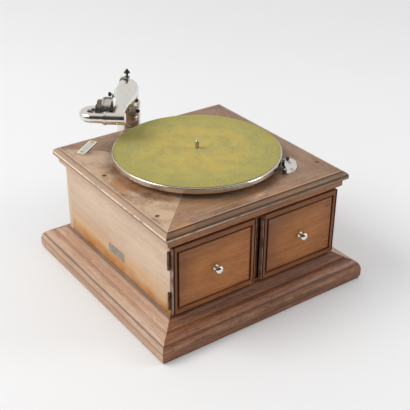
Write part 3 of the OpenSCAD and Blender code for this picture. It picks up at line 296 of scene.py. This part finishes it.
def pale_end_grain(f, colour):
    """The back board's end grain on the left is as pale as the side that it meets, with its painted glare."""
    x = f.split(f.place)[0]
    return f.blend(f.math("LESS_THAN", x, case_low.x + 0.0008), colour, (0.62, 0.45, 0.33))


# Pale, grey tones: partly the sides' own colour and partly painted glare.
dress("left_side right_side", oak("oak_side_with_glare", "y", pale=(0.71, 0.545, 0.410), mid=(0.660, 0.490, 0.358),
                                  deep=(0.565, 0.390, 0.270), rough=0.40, marks_and_painted_light=side_marks,
                                  pore=0.26, fleck=0.1, flame=0.22))
dress("back_panel", oak("oak_back", "x", **front_tones, rough=0.5, marks_and_painted_light=pale_end_grain))
ease("left_side right_side back_panel", 0.0004)


# Front frame and cornice: stained oak. The frame's rails and post stand behind the doors, and the
# cornice is a cove run under the top board, mitred at the corners.
dress("front_frame", oak("oak_frame", "x", **front_tones))
cornice_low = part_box("cornice")[0]
# Painted shadow: a dark line along the cornice's foot, under its cove.
cornice_quirks = quirk_shade([cornice_low.z + 0.001])


def left_length(f):
    """1 on the moulding's left length, as far as its mitres, and 0 elsewhere."""
    x, y = f.split(f.place)[:2]
    return f.span(f.math("ADD", x, f.math("ABSOLUTE", y)), -0.0004, 0.0, 1.0, 0.0)


# Painted light: the cornice's left length lit pale, over the painted shadow along its foot.
def cornice_painted_light(f, colour):
    return f.blend(f.math("MULTIPLY", left_length(f), 0.85), cornice_quirks(f, colour), (0.60, 0.43, 0.32))


dress("cornice", oak("oak_cornice", "mitre_top", pale=(0.46, 0.215, 0.105), mid=(0.345, 0.148, 0.066),
                     deep=(0.170, 0.066, 0.030), marks_and_painted_light=cornice_painted_light))
ease("front_frame", 0.0005)


# Top board: oak veneer laid in four pieces that meet on the diagonals, with a solid edge moulding.
# The polish is patchy with bloom and painted sheen, paler on the left, with painted shade darker towards the
# right and in a ring under the turntable's rim.
top_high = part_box("top_board")[1]
table_edge = 0.160


def top_marks_and_painted_light(f, colour):
    """Bloom with painted sheen, amber and painted shade on the flat; painted shade, painted highlights and a
    lip rubbed pale on the edge moulding.
    """
    x, y, z = f.split(f.place)
    along = f.math("ABSOLUTE", f.math("SUBTRACT", f.math("ABSOLUTE", x), f.math("ABSOLUTE", y)))
    joint = f.span(along, 0.0, 0.0009, 0.75, 0.0)
    left = left_length(f)
    toward_right = f.span(f.math("ADD", x, f.math("MULTIPLY", y, 0.4)), -0.16, 0.16)
    flat = f.span(z, top_high.z - 0.0012, top_high.z - 0.0006)
    # Pale patches on the flat, strongest on the left length: bloom of the polish and painted sheen.
    bloom_and_sheen = f.math("MULTIPLY", f.span(f.noise(f.place, 16.0, 4, 0.65), 0.40, 0.58),
                   f.math("MULTIPLY", flat, f.span(left, 0.0, 1.0, 0.22, 0.90)))
    amber = f.span(f.noise(f.place, (17, 13, 1), 3, 0.6), 0.50, 0.60, 0.0, 0.75)
    scratch = f.span(f.noise(f.stretch(f.place, (90, 900, 1), (0, 0, 0.7)), 1.0, 1), 0.68, 0.72, 0.0, 0.30)
    out = f.math("SQRT", f.math("ADD", f.math("MULTIPLY", x, x), f.math("MULTIPLY", y, y)))
    # Painted shade in a dark ring round the turntable, under its rim.
    ring = f.span(f.math("ABSOLUTE", f.math("SUBTRACT", out, table_edge)), 0.0, 0.014, 0.35, 0.0)
    colour = f.blend(bloom_and_sheen, colour, (0.60, 0.42, 0.27))
    # Painted shade: the flat darker towards the right.
    colour = f.blend(f.math("MULTIPLY", toward_right, 0.40), colour, (0.155, 0.082, 0.046))
    near_corner = f.span(f.math("ADD", x, y), -0.20, -0.05, 1.0, 0.0)
    colour = f.blend(f.math("MULTIPLY", amber, near_corner), colour, (0.50, 0.215, 0.070))
    colour = f.blend(scratch, colour, (0.50, 0.38, 0.28))
    colour = f.blend(ring, colour, (0.10, 0.055, 0.032))
    colour = f.blend(joint, colour, (0.060, 0.030, 0.018))
    # Painted shade on the edge moulding, but for its left length.
    shaded_edge = f.math("MULTIPLY", f.math("SUBTRACT", 1.0, flat), f.math("SUBTRACT", 1.0, left))
    colour = f.blend(f.math("MULTIPLY", shaded_edge, 0.60), colour, (0.150, 0.078, 0.036))
    # Painted light: the left length's moulding lit pale.
    lit_left_moulding = f.math("MULTIPLY", left, f.span(z, top_high.z - 0.0012, top_high.z - 0.0008, 0.60, 0.0))
    colour = f.blend(lit_left_moulding, colour, (0.50, 0.345, 0.235))

    def band(low, high, soft=0.0006):
        """1 between two depths under the top's surface."""
        return f.math("MULTIPLY", f.span(z, top_high.z - low - soft, top_high.z - low),
                      f.span(z, top_high.z - high, top_high.z - high + soft, 1.0, 0.0))

    def shelf(near, far, soft=0.0005):
        """1 between two distances out from the middle, on the top's outer part."""
        o = f.math("MAXIMUM", f.math("ABSOLUTE", x), f.math("ABSOLUTE", y))
        return f.math("MULTIPLY", f.span(o, near - soft, near), f.span(o, far, far + soft, 1.0, 0.0))

    reach = top_high.x
    # Painted highlight along the top arris and painted shade in the quirk beside it; the highlight is
    # stronger on the left, the shade on the front.
    arris = shelf(reach - 0.0105, reach - 0.0085)
    quirk = shelf(reach - 0.0084, reach - 0.0062)
    patch = f.span(f.noise(f.place, 45.0, 4, 0.7), 0.34, 0.50)
    arris = f.math("MULTIPLY", arris, f.span(left, 0.0, 1.0, 0.35, 0.65))
    quirk = f.math("MULTIPLY", quirk, f.span(left, 0.0, 1.0, 0.80, 0.35))
    colour = f.blend(arris, colour, (0.60, 0.47, 0.37))
    colour = f.blend(quirk, colour, (0.095, 0.046, 0.024))
    # Painted shade in the front's ovolo and under the lip on the left.
    front_dark = f.math("MULTIPLY", band(0.0100, 0.0066), f.span(left, 0.0, 1.0, 0.88, 0.0))
    colour = f.blend(front_dark, colour, (0.070, 0.033, 0.016))
    left_dark = f.math("MULTIPLY", band(0.0126, 0.0104), f.math("MULTIPLY", left, 0.75))
    colour = f.blend(left_dark, colour, (0.19, 0.105, 0.062))
    # The lip's arris rubbed pale and painted as a highlight, strongest on the left.
    worn_lip_and_highlight = f.math("ADD", f.math("MULTIPLY", band(0.0124, 0.0102), f.span(left, 0.0, 1.0, 0.50, 0.0)),
                  f.math("MULTIPLY", band(0.0098, 0.0072), f.math("MULTIPLY", left, 0.92)))
    less = f.span(x, 0.02, -0.14, 0.30, 1.0)
    return f.blend(f.math("MULTIPLY", f.math("MULTIPLY", worn_lip_and_highlight, patch), less), colour, (0.78, 0.62, 0.46))


dress("top_board", oak("veneered_oak_top", "mitre_top", pale=(0.44, 0.245, 0.132), mid=(0.335, 0.170, 0.086),
                       deep=(0.175, 0.078, 0.036), rough=0.25, shine=0.45, marks_and_painted_light=top_marks_and_painted_light,
                       pore=0.6, flame=0.6))
ease("top_board", 0.0005)


# Blackened steel: the conduit's screws, the arm's screw, the thumb screw, the pivot screw, the
# brake lever and the speed control, turned or filed and then blacked in oil.
def black_steel():
    f = Finish("blackened_steel", 0.34, 0.85)
    patch = f.noise(f.place, 260.0, 4, 0.65)
    fine = f.noise(f.place, 1900.0, 2)
    colour = f.tones(patch, (0.35, (0.020, 0.018, 0.017)), (0.60, (0.055, 0.048, 0.042)),
                     (0.78, (0.16, 0.125, 0.095)))
    return f.show(colour, f.span(patch, 0.3, 0.7, 0.26, 0.50), f.bump(fine, 0.00006))


dress("conduit_screws arm_screw needle_screw pivot_screw brake_lever speed_control", black_steel())
ease("pivot_screw needle_screw speed_control brake_lever", 0.0003)


# Top screws: four countersunk steel screws, their heads browned by the polish, and the brake
# plate's two, which were nickelled with their plate.
plate_low, plate_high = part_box("brake_plate")
plate_middle = (plate_low + plate_high) / 2
plate_reach = 0.040


def browned_steel():
    f = Finish("browned_steel", 0.45, 0.7)
    patch = f.noise(f.place, 300.0, 4, 0.65)
    colour = f.tones(patch, (0.35, (0.11, 0.060, 0.034)), (0.60, (0.25, 0.155, 0.095)),
                     (0.78, (0.38, 0.27, 0.18)))
    x, y = f.split(f.place)[:2]
    from_plate = f.math("SQRT", f.math("ADD", f.math("POWER", f.math("SUBTRACT", x, plate_middle.x), 2.0),
                                       f.math("POWER", f.math("SUBTRACT", y, plate_middle.y), 2.0)))
    colour = f.blend(f.math("LESS_THAN", from_plate, plate_reach), colour, (0.70, 0.67, 0.60))
    return f.show(colour, f.span(patch, 0.3, 0.7, 0.35, 0.6), f.bump(f.noise(f.place, 1900.0, 2), 0.00006))


dress("top_screws", browned_steel())


# Brass: the butt hinges with their pins, the escutcheon of the winding hole, the idler and the
# governor. Sawn, turned and screwed on bright, since gone dull and brown.
def dull_brass():
    f = Finish("dull_brass", 0.34, 1.0)
    patch = f.noise(f.place, 120.0, 4, 0.65)
    fine = f.noise(f.place, 1500.0, 2)
    colour = f.tones(patch, (0.34, (0.085, 0.058, 0.040)), (0.58, (0.190, 0.135, 0.092)),
                     (0.80, (0.36, 0.28, 0.20)))
    return f.show(colour, f.span(patch, 0.3, 0.7, 0.52, 0.30), f.bump(fine, 0.00005))


dress("case_hinge_leaves left_door_leaves right_door_leaves hinge_pins winding_escutcheon"
      " idler governor", dull_brass())


# Side plate: a thin blank plate of soft grey metal, laid on the left side near its foot and
# rubbed dull with the wood round it.
def grey_metal():
    f = Finish("grey_soft_metal", 0.42, 0.8)
    patch = f.noise(f.place, 95.0, 4, 0.65)
    colour = f.tones(patch, (0.30, (0.31, 0.28, 0.24)), (0.55, (0.40, 0.37, 0.33)),
                     (0.80, (0.47, 0.44, 0.40)))
    return f.show(colour, f.span(patch, 0.3, 0.7, 0.55, 0.34), f.bump(f.noise(f.place, 1300.0, 2), 0.00005))


dress("name_plate", grey_metal())
ease("name_plate", 0.0003)


# Corner plate: a blank ivory-coloured sheet with rounded corners, held across the back left
# corner of the top by two pins. Stained by the pins, with a paler rim.
ivory_low, ivory_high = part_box("corner_plate")
ivory_middle = (ivory_low + ivory_high) / 2
ivory_turn = Matrix.Rotation(math.radians(-36), 3, "Z")
ivory_rim = (0.0252, 0.0054)
ivory_pin = 0.023


def aged_ivory():
    f = Finish("aged_ivory_sheet", 0.34)
    x, y = f.split(f.stretch(f.place, (1, 1, 1), ivory_turn.to_euler(), ivory_turn @ -ivory_middle))[:2]
    stain = f.noise(f.place, 90.0, 4, 0.6)
    fine = f.noise(f.place, 900.0, 2)
    colour = f.tones(stain, (0.30, (0.70, 0.68, 0.60)), (0.55, (0.80, 0.79, 0.73)), (0.8, (0.86, 0.85, 0.80)))
    along, across = f.math("ABSOLUTE", x), f.math("ABSOLUTE", y)
    rim = f.math("MAXIMUM", f.span(along, ivory_rim[0], ivory_rim[0] + 0.0006),
                 f.span(across, ivory_rim[1], ivory_rim[1] + 0.0006))
    colour = f.blend(f.math("SUBTRACT", 1.0, rim), colour, (0.66, 0.67, 0.60), "MULTIPLY")
    from_pin = f.math("SQRT", f.math("ADD", f.math("POWER", f.math("SUBTRACT", along, ivory_pin), 2.0),
                                     f.math("POWER", y, 2.0)))
    rust = f.math("MULTIPLY", f.span(from_pin, 0.0018, 0.0060, 0.75, 0.0), f.span(x, 0.0, 0.01, 0.35, 1.0))
    colour = f.blend(rust, colour, (0.50, 0.36, 0.14))
    colour = f.blend(f.span(from_pin, 0.0016, 0.0018, 0.85, 0.0), colour, (0.20, 0.17, 0.10))
    return f.show(colour, f.span(stain, 0.3, 0.7, 0.48, 0.30), f.bump(fine, 0.00004))


dress("corner_plate", aged_ivory())
ease("corner_plate", 0.0004)


# Doors: a grooved oak frame mitred at its corners round a raised panel, on brass butt hinges.
# Both doors overlay the case and are stained darker than the sides.
groove_place = 0.0100
bead_place = 0.0023
def door_marks(low, high):
    """Painted shade in the grooves and quirks, darkest in the uprights on the left; a face darker towards its
    edges and rubbed bright in the middle.
    """
    def marks_and_painted_light(f, colour):
        x, y, z = f.split(f.place)
        left, right = f.math("SUBTRACT", x, low.x), f.math("SUBTRACT", high.x, x)
        foot, head = f.math("SUBTRACT", z, low.z), f.math("SUBTRACT", high.z, z)
        from_side = f.math("MINIMUM", left, right)
        from_edge = f.math("MINIMUM", from_side, f.math("MINIMUM", foot, head))
        upright = f.math("LESS_THAN", left, f.math("ADD", from_edge, 0.0012))
        outer = f.math("LESS_THAN", right, f.math("ADD", from_edge, 0.0012))
        u = f.math("DIVIDE", f.math("SUBTRACT", x, (low.x + high.x) / 2), (high.x - low.x) / 2)
        w = f.math("DIVIDE", f.math("SUBTRACT", z, (low.z + high.z) / 2), (high.z - low.z) / 2)
        ring = f.math("ADD", f.math("MULTIPLY", u, u), f.math("MULTIPLY", w, w))
        cloud = f.noise(f.place, 14.0, 4, 0.6)
        drift = f.math("MULTIPLY", f.math("SUBTRACT", cloud, 0.5), 1.4)
        warm = f.span(f.math("ADD", ring, drift), 0.0, 1.15, 0.62, 0.0)
        colour = f.blend(f.math("MULTIPLY", warm, 0.7), colour, (0.50, 0.205, 0.062))
        lean_left = f.math("MULTIPLY", f.math("SUBTRACT", w, u), 0.25)
        # Darker towards the edges of the face, most towards the top left.
        square = f.math("MAXIMUM", f.math("ABSOLUTE", u), f.math("ABSOLUTE", w))
        edge_darkening = f.span(f.math("ADD", square, lean_left), 0.50, 1.15, 0.0, 0.62)
        colour = f.blend(edge_darkening, colour, (0.130, 0.055, 0.027))
        # Painted shade in the quirk by each bead and in the groove: strongest in the left upright, less in
        # the right one, faint along head and foot.
        past_bead = f.math("ABSOLUTE", f.math("SUBTRACT", from_side, bead_place))
        past_groove = f.math("ABSOLUTE", f.math("SUBTRACT", from_edge, groove_place))
        quirk = f.span(past_bead, 0.0009, 0.0016, 0.85, 0.0)
        groove = f.span(past_groove, 0.0016, 0.0028, 1.0, 0.0)
        level = f.math("MAXIMUM", f.math("MULTIPLY", outer, 0.40), 0.12)
        depth = f.math("MAXIMUM", f.math("MULTIPLY", upright, 0.96), level)
        dust_and_painted_shade = f.math("MAXIMUM", quirk, f.math("MULTIPLY", groove, depth))
        colour = f.blend(dust_and_painted_shade, colour, (0.016, 0.008, 0.005))
        rubbed = f.span(f.noise(f.place, 60.0, 3), 0.4, 0.6)
        arris = f.math("MULTIPLY", f.span(from_side, 0.0004, 0.0011, 0.5, 0.0), rubbed)
        return f.blend(arris, colour, (0.42, 0.33, 0.27))
    return marks_and_painted_light


for hand in ("left", "right"):
    low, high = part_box(hand + "_door_frame")
    centre = (low + high) / 2
    lean = (high.z - low.z) / (high.x - low.x)
    dress(hand + "_door_frame", oak(hand + "_door_oak", "mitre_front", pale=(0.420, 0.165, 0.058),
                                    mid=(0.310, 0.110, 0.036), deep=(0.150, 0.048, 0.016),
                                    middle=tuple(centre), slope=lean, marks_and_painted_light=door_marks(low, high), pore=0.4))
    dress(hand + "_door_panel", oak(hand + "_panel_oak", "x", pale=(0.480, 0.195, 0.072),
                                    mid=(0.385, 0.145, 0.050), deep=(0.190, 0.062, 0.021), fleck=0.30,
                                    marks_and_painted_light=door_marks(low, high), pore=0.6))
    ease(hand + "_door_frame " + hand + "_door_panel", 0.0005)


# Nickel plate over brass: knobs, conduit, bracket, arm, goose-neck, sound box, brake plate and
# crank. Drawn, cast or turned, then plated, with fine wiping scratches and a little brown bloom.
def nickel(name, rough=0.20, bloom_and_sheen=0.20, tone=(0.80, 0.765, 0.705), pitting=0.4):
    f = Finish(name, rough, 1.0)
    patch = f.noise(f.place, 70.0, 4, 0.65)
    wipe = f.noise(f.place, (400, 1400, 1100), 3, 0.6)
    speck = f.span(f.noise(f.place, 620.0, 2), 0.68, 0.76)
    colour = f.blend(f.span(patch, 0.48, 0.75, 0.0, bloom_and_sheen), tone, (0.42, 0.34, 0.255))
    colour = f.blend(f.math("MULTIPLY", speck, pitting), colour, (0.20, 0.16, 0.12))
    return f.show(colour, f.span(patch, 0.3, 0.7, rough - 0.05, rough + 0.12),
                  f.bump(f.math("ADD", wipe, f.math("MULTIPLY", speck, -0.6)), 0.000008))


dress("left_knob right_knob", nickel("knob_nickel", 0.13, 0.15))
dress("sound_conduit", nickel("conduit_nickel", 0.22, 0.45))
dress("pivot_bracket", nickel("bracket_nickel", 0.30, 0.8, (0.30, 0.27, 0.23)))
dress("arm_elbow tone_arm", nickel("arm_nickel", 0.20, 0.20, (0.84, 0.81, 0.75), 0.12))
dress("cross_tube goose_neck", nickel("neck_nickel", 0.14, 0.15, pitting=0.15))
dress("box_back", nickel("tarnished_nickel", 0.34, 0.7, (0.17, 0.15, 0.13)))
dress("box_case", nickel("sound_box_nickel", 0.20, 0.35, (0.62, 0.59, 0.54)))
dress("brake_plate crank", nickel("plate_nickel", 0.28, 0.2, (0.78, 0.75, 0.69)))
ease("pivot_bracket brake_plate box_case", 0.0003)


# Motor: two iron plates, a spring barrel on its arbor, the winding shaft and the train, painted
# or left as turned steel, and oily.
def oily_iron():
    f = Finish("oily_iron", 0.42, 0.6)
    patch = f.noise(f.place, 55.0, 5, 0.65)
    cast = f.noise(f.place, 700.0, 3)
    colour = f.tones(patch, (0.32, (0.030, 0.030, 0.032)), (0.58, (0.085, 0.082, 0.080)),
                     (0.8, (0.19, 0.135, 0.09)))
    return f.show(colour, f.span(patch, 0.3, 0.7, 0.3, 0.62), f.bump(cast, 0.0002))


def turned_steel():
    f = Finish("turned_steel", 0.26, 1.0)
    patch = f.noise(f.place, 110.0, 4, 0.6)
    lines = f.noise(f.place, (2400, 2400, 2400), 1)
    colour = f.tones(patch, (0.30, (0.28, 0.25, 0.22)), (0.55, (0.52, 0.51, 0.50)),
                     (0.75, (0.63, 0.62, 0.61)))
    return f.show(colour, f.span(patch, 0.3, 0.7, 0.36, 0.20), f.bump(lines, 0.00004))


dress("upper_plate lower_plate spring_barrel", oily_iron())
dress("motor_bolts mainspring barrel_arbor winding_shaft stylus_bar needle spindle", turned_steel())


# Crank grip: a turned hardwood sleeve that spins on the crank's pin, stained dark and polished,
# and worn paler where the hand holds it.
def polished_grip():
    f = Finish("polished_hardwood", 0.28, Coat_Weight=0.3, Coat_Roughness=0.15)
    v = grain_along(f, "x")
    grain = f.noise(v, (14, 260, 260), 4, 0.6, 0.3)
    hand = f.noise(f.place, 60.0, 3)
    colour = f.tones(grain, (0.32, (0.045, 0.016, 0.008)), (0.6, (0.115, 0.042, 0.020)),
                     (0.8, (0.19, 0.078, 0.036)))
    colour = f.blend(f.span(hand, 0.45, 0.7, 0.0, 0.4), colour, (0.24, 0.12, 0.06))
    return f.show(colour, f.span(hand, 0.3, 0.7, 0.22, 0.42), f.bump(grain, 0.0001))


dress("crank_grip", polished_grip())


# Turntable: a pressed plate with a turned-down nickelled rim, covered in olive wool felt. The felt
# is rubbed yellow over the middle, greener at the rim, with faint rings where discs have lain.
worn_rings = ((0.064, 0.004, 0.16), (0.108, 0.003, 0.20), (0.127, 0.0016, 0.24), (0.137, 0.002, 0.16))


def olive_felt():
    f = Finish("olive_wool_felt", 0.95, Sheen_Weight=0.08, Sheen_Roughness=0.5)
    x, y = f.split(f.place)[:2]
    flat = f.join(x, y, 0.0)
    out = f.math("SQRT", f.math("ADD", f.math("MULTIPLY", x, x), f.math("MULTIPLY", y, y)))
    wander = f.math("MULTIPLY", f.math("SUBTRACT", f.noise(flat, 11.0, 3), 0.5), 0.030)
    reach = f.math("ADD", out, wander)
    fibre = f.noise(flat, 1500.0, 3, 0.7)
    tuft = f.noise(flat, 240.0, 4, 0.7)
    cloud = f.noise(flat, 26.0, 4, 0.65)
    colour = f.tones(f.span(reach, 0.0, 0.16), (0.0, (0.520, 0.395, 0.090)), (0.55, (0.480, 0.370, 0.078)),
                     (0.74, (0.400, 0.345, 0.080)), (0.92, (0.375, 0.320, 0.060)),
                     (1.0, (0.255, 0.235, 0.036)))
    colour = f.blend(f.span(cloud, 0.42, 0.60, 0.0, 0.62), colour, (0.310, 0.285, 0.085))
    colour = f.blend(f.span(tuft, 0.50, 0.75, 0.0, 0.40), colour, (0.235, 0.205, 0.060))
    colour = f.blend(f.span(tuft, 0.50, 0.28, 0.0, 0.30), colour, (0.56, 0.49, 0.24))
    uneven = f.math("ADD", out, f.math("MULTIPLY", wander, 0.12))
    for radius, half, depth in worn_rings:
        near = f.span(f.math("ABSOLUTE", f.math("SUBTRACT", uneven, radius)), 0.0, half, depth, 0.0)
        colour = f.blend(f.math("MULTIPLY", near, f.span(cloud, 0.35, 0.6)), colour, (0.21, 0.19, 0.07))
    relief = f.math("ADD", f.math("MULTIPLY", fibre, 0.5), tuft)
    return f.show(colour, None, f.bump(relief, 0.0006))


dress("turntable_felt", olive_felt())
dress("turntable", nickel("rim_nickel", 0.16, 0.25, (0.66, 0.62, 0.56), 0.15))


# Sound box fittings: a moulded rubber isolator and ring gaskets, gone dull and hard, and a thin
# disc of split mica held between the gaskets.
def aged_rubber():
    f = Finish("aged_rubber", 0.62)
    patch = f.noise(f.place, 180.0, 4)
    colour = f.tones(patch, (0.35, (0.030, 0.026, 0.023)), (0.7, (0.075, 0.066, 0.058)))
    return f.show(colour, f.span(patch, 0.3, 0.7, 0.5, 0.75), f.bump(f.noise(f.place, 1200.0, 2), 0.0001))


def split_mica():
    f = Finish("split_mica", 0.16, Coat_Weight=0.3)
    flake = f.noise(f.place, (160, 160, 420), 4, 0.6, 0.8)
    colour = f.tones(flake, (0.3, (0.30, 0.235, 0.15)), (0.6, (0.50, 0.43, 0.31)), (0.8, (0.64, 0.60, 0.50)))
    return f.show(colour, f.span(flake, 0.3, 0.7, 0.12, 0.3), f.bump(flake, 0.0001))


dress("box_isolator box_gaskets", aged_rubber())
dress("diaphragm", split_mica())


# Floor: a wide, plain pale table top that the gramophone stands on. It keeps the soft shadow, and
# a small glow lifts it to the tone of the air behind.
table_half = 9.0
table_drop = 0.0004
floor_mesh = bpy.data.meshes.new("table_top")
work = bmesh.new()
bmesh.ops.create_grid(work, x_segments=8, y_segments=8, size=table_half)
work.to_mesh(floor_mesh)
work.free()
table_top = bpy.data.objects.new("table_top", floor_mesh)
table_top.location = (0, 0, -table_drop)
bpy.context.scene.collection.objects.link(table_top)
f = Finish("pale_table", 0.9, Specular_IOR_Level=0.1)
mottle = f.noise(f.place, 1.3, 3)
table_colour = f.tones(mottle, (0.3, (0.795, 0.795, 0.80)), (0.7, (0.812, 0.812, 0.812)))
floor_mesh.materials.append(f.show(table_colour))
glow = f.tree.nodes.new("ShaderNodeEmission")
glow.inputs[0].default_value = (1, 1, 1, 1)
seen_by = f.tree.nodes.new("ShaderNodeLightPath").outputs
away = f.split(f.place)
slant = f.math("ADD", f.math("MULTIPLY", away[0], 0.015), f.math("MULTIPLY", away[1], 0.005))
lift = f.math("ADD", 0.035, slant)
shown = f.math("MAXIMUM", seen_by["Is Camera Ray"], seen_by["Is Glossy Ray"])
shown = f.math("MAXIMUM", shown, seen_by["Is Transmission Ray"])
f.put(glow.inputs[1], f.math("MULTIPLY", shown, f.math("MINIMUM", f.math("MAXIMUM", lift, 0.0), 0.4)))
both = f.tree.nodes.new("ShaderNodeAddShader")
f.tree.links.new(f.skin.outputs[0], both.inputs[0])
f.tree.links.new(glow.outputs[0], both.inputs[1])
f.tree.links.new(both.outputs[0], f.out.inputs["Surface"])


# Light: even studio air, mirrored pale by metal but for a darker viewer's side, a broad soft lamp
# high behind on the left, and a weak one on the right.
lamps = (("broad_lamp", (-2.6, 1.3, 2.9), 2.4, 100.0), ("side_lamp", (1.86, -1.31, 1.40), 1.0, 12.5))
lamp_aim = Vector((0, 0, 0.15))
viewer_side = (-0.57, -0.82, 0)
air = bpy.data.worlds.new("studio_air")
bpy.context.scene.world = air
air.use_nodes = True
air_nodes = air.node_tree.nodes
air_links = air.node_tree.links
air_nodes.clear()
sky_out = air_nodes.new("ShaderNodeOutputWorld")
seen = air_nodes.new("ShaderNodeBackground")
lighting = air_nodes.new("ShaderNodeBackground")
mirrored = air_nodes.new("ShaderNodeBackground")
rays = air_nodes.new("ShaderNodeLightPath").outputs
seen.inputs[0].default_value = (0.86, 0.86, 0.87, 1)
lighting.inputs[0].default_value = (0.97, 0.98, 1.0, 1)
lighting.inputs[1].default_value = 0.64
aim = air_nodes.new("ShaderNodeTexCoord").outputs["Generated"]


def towards(direction, low, high, at_low, at_high):
    """A strength that changes softly as a ray turns towards one direction."""
    dot = air_nodes.new("ShaderNodeVectorMath")
    dot.operation = "DOT_PRODUCT"
    air_links.new(aim, dot.inputs[0])
    dot.inputs[1].default_value = Vector(direction).normalized()
    reach = air_nodes.new("ShaderNodeMapRange")
    reach.interpolation_type = "SMOOTHSTEP"
    air_links.new(dot.outputs["Value"], reach.inputs[0])
    for socket, value in zip(list(reach.inputs)[1:5], (low, high, at_low, at_high)):
        socket.default_value = value
    return reach.outputs[0]


air_links.new(towards(viewer_side, 0.0, 0.55, 0.95, 0.05), mirrored.inputs[1])
behind = air_nodes.new("ShaderNodeMixShader")
air_links.new(rays["Is Glossy Ray"], behind.inputs[0])
air_links.new(lighting.outputs[0], behind.inputs[1])
air_links.new(mirrored.outputs[0], behind.inputs[2])
direct = air_nodes.new("ShaderNodeMath")
direct.operation = "MAXIMUM"
air_links.new(rays["Is Camera Ray"], direct.inputs[0])
air_links.new(rays["Is Transmission Ray"], direct.inputs[1])
pick = air_nodes.new("ShaderNodeMixShader")
air_links.new(direct.outputs[0], pick.inputs[0])
air_links.new(behind.outputs[0], pick.inputs[1])
air_links.new(seen.outputs[0], pick.inputs[2])
air_links.new(pick.outputs[0], sky_out.inputs[0])

for name, place, size, watts in lamps:
    lamp = bpy.data.lights.new(name, "AREA")
    lamp.shape = "SQUARE"
    lamp.size = size
    lamp.energy = watts
    lamp.color = (1.0, 0.985, 0.96)
    stand = bpy.data.objects.new(name, lamp)
    bpy.context.scene.collection.objects.link(stand)
    stand.location = place
    stand.rotation_euler = (lamp_aim - stand.location).to_track_quat("-Z", "Y").to_euler()


# Camera: a plain lens at the photograph's distance and angle, looking down on the top from in
# front of the left corner. The focal length is given in the picture's own pixels.
turn, down, tilt = math.radians(35.67), math.radians(29.35), math.radians(0.507)
eye = (-0.7968, -1.1362, 0.9068)
focal_pixels, frame_pixels, film_width = 845.67, 410, 36.0
ahead = Vector((math.sin(turn) * math.cos(down), math.cos(turn) * math.cos(down), -math.sin(down)))
right = Vector((math.cos(turn), -math.sin(turn), 0))
above = right.cross(ahead)
right_tilted = right * math.cos(tilt) + above * math.sin(tilt)
above_tilted = above * math.cos(tilt) - right * math.sin(tilt)
camera_data = bpy.data.cameras.new("photo_camera")
camera_data.sensor_width = film_width
camera_data.lens = focal_pixels / frame_pixels * film_width
camera = bpy.data.objects.new("photo_camera", camera_data)
bpy.context.scene.collection.objects.link(camera)
camera.matrix_world = Matrix.Translation(eye) @ Matrix(
    (right_tilted, above_tilted, -ahead)).transposed().to_4x4()
bpy.context.scene.camera = camera
bpy.context.scene.view_settings.view_transform = "Standard"
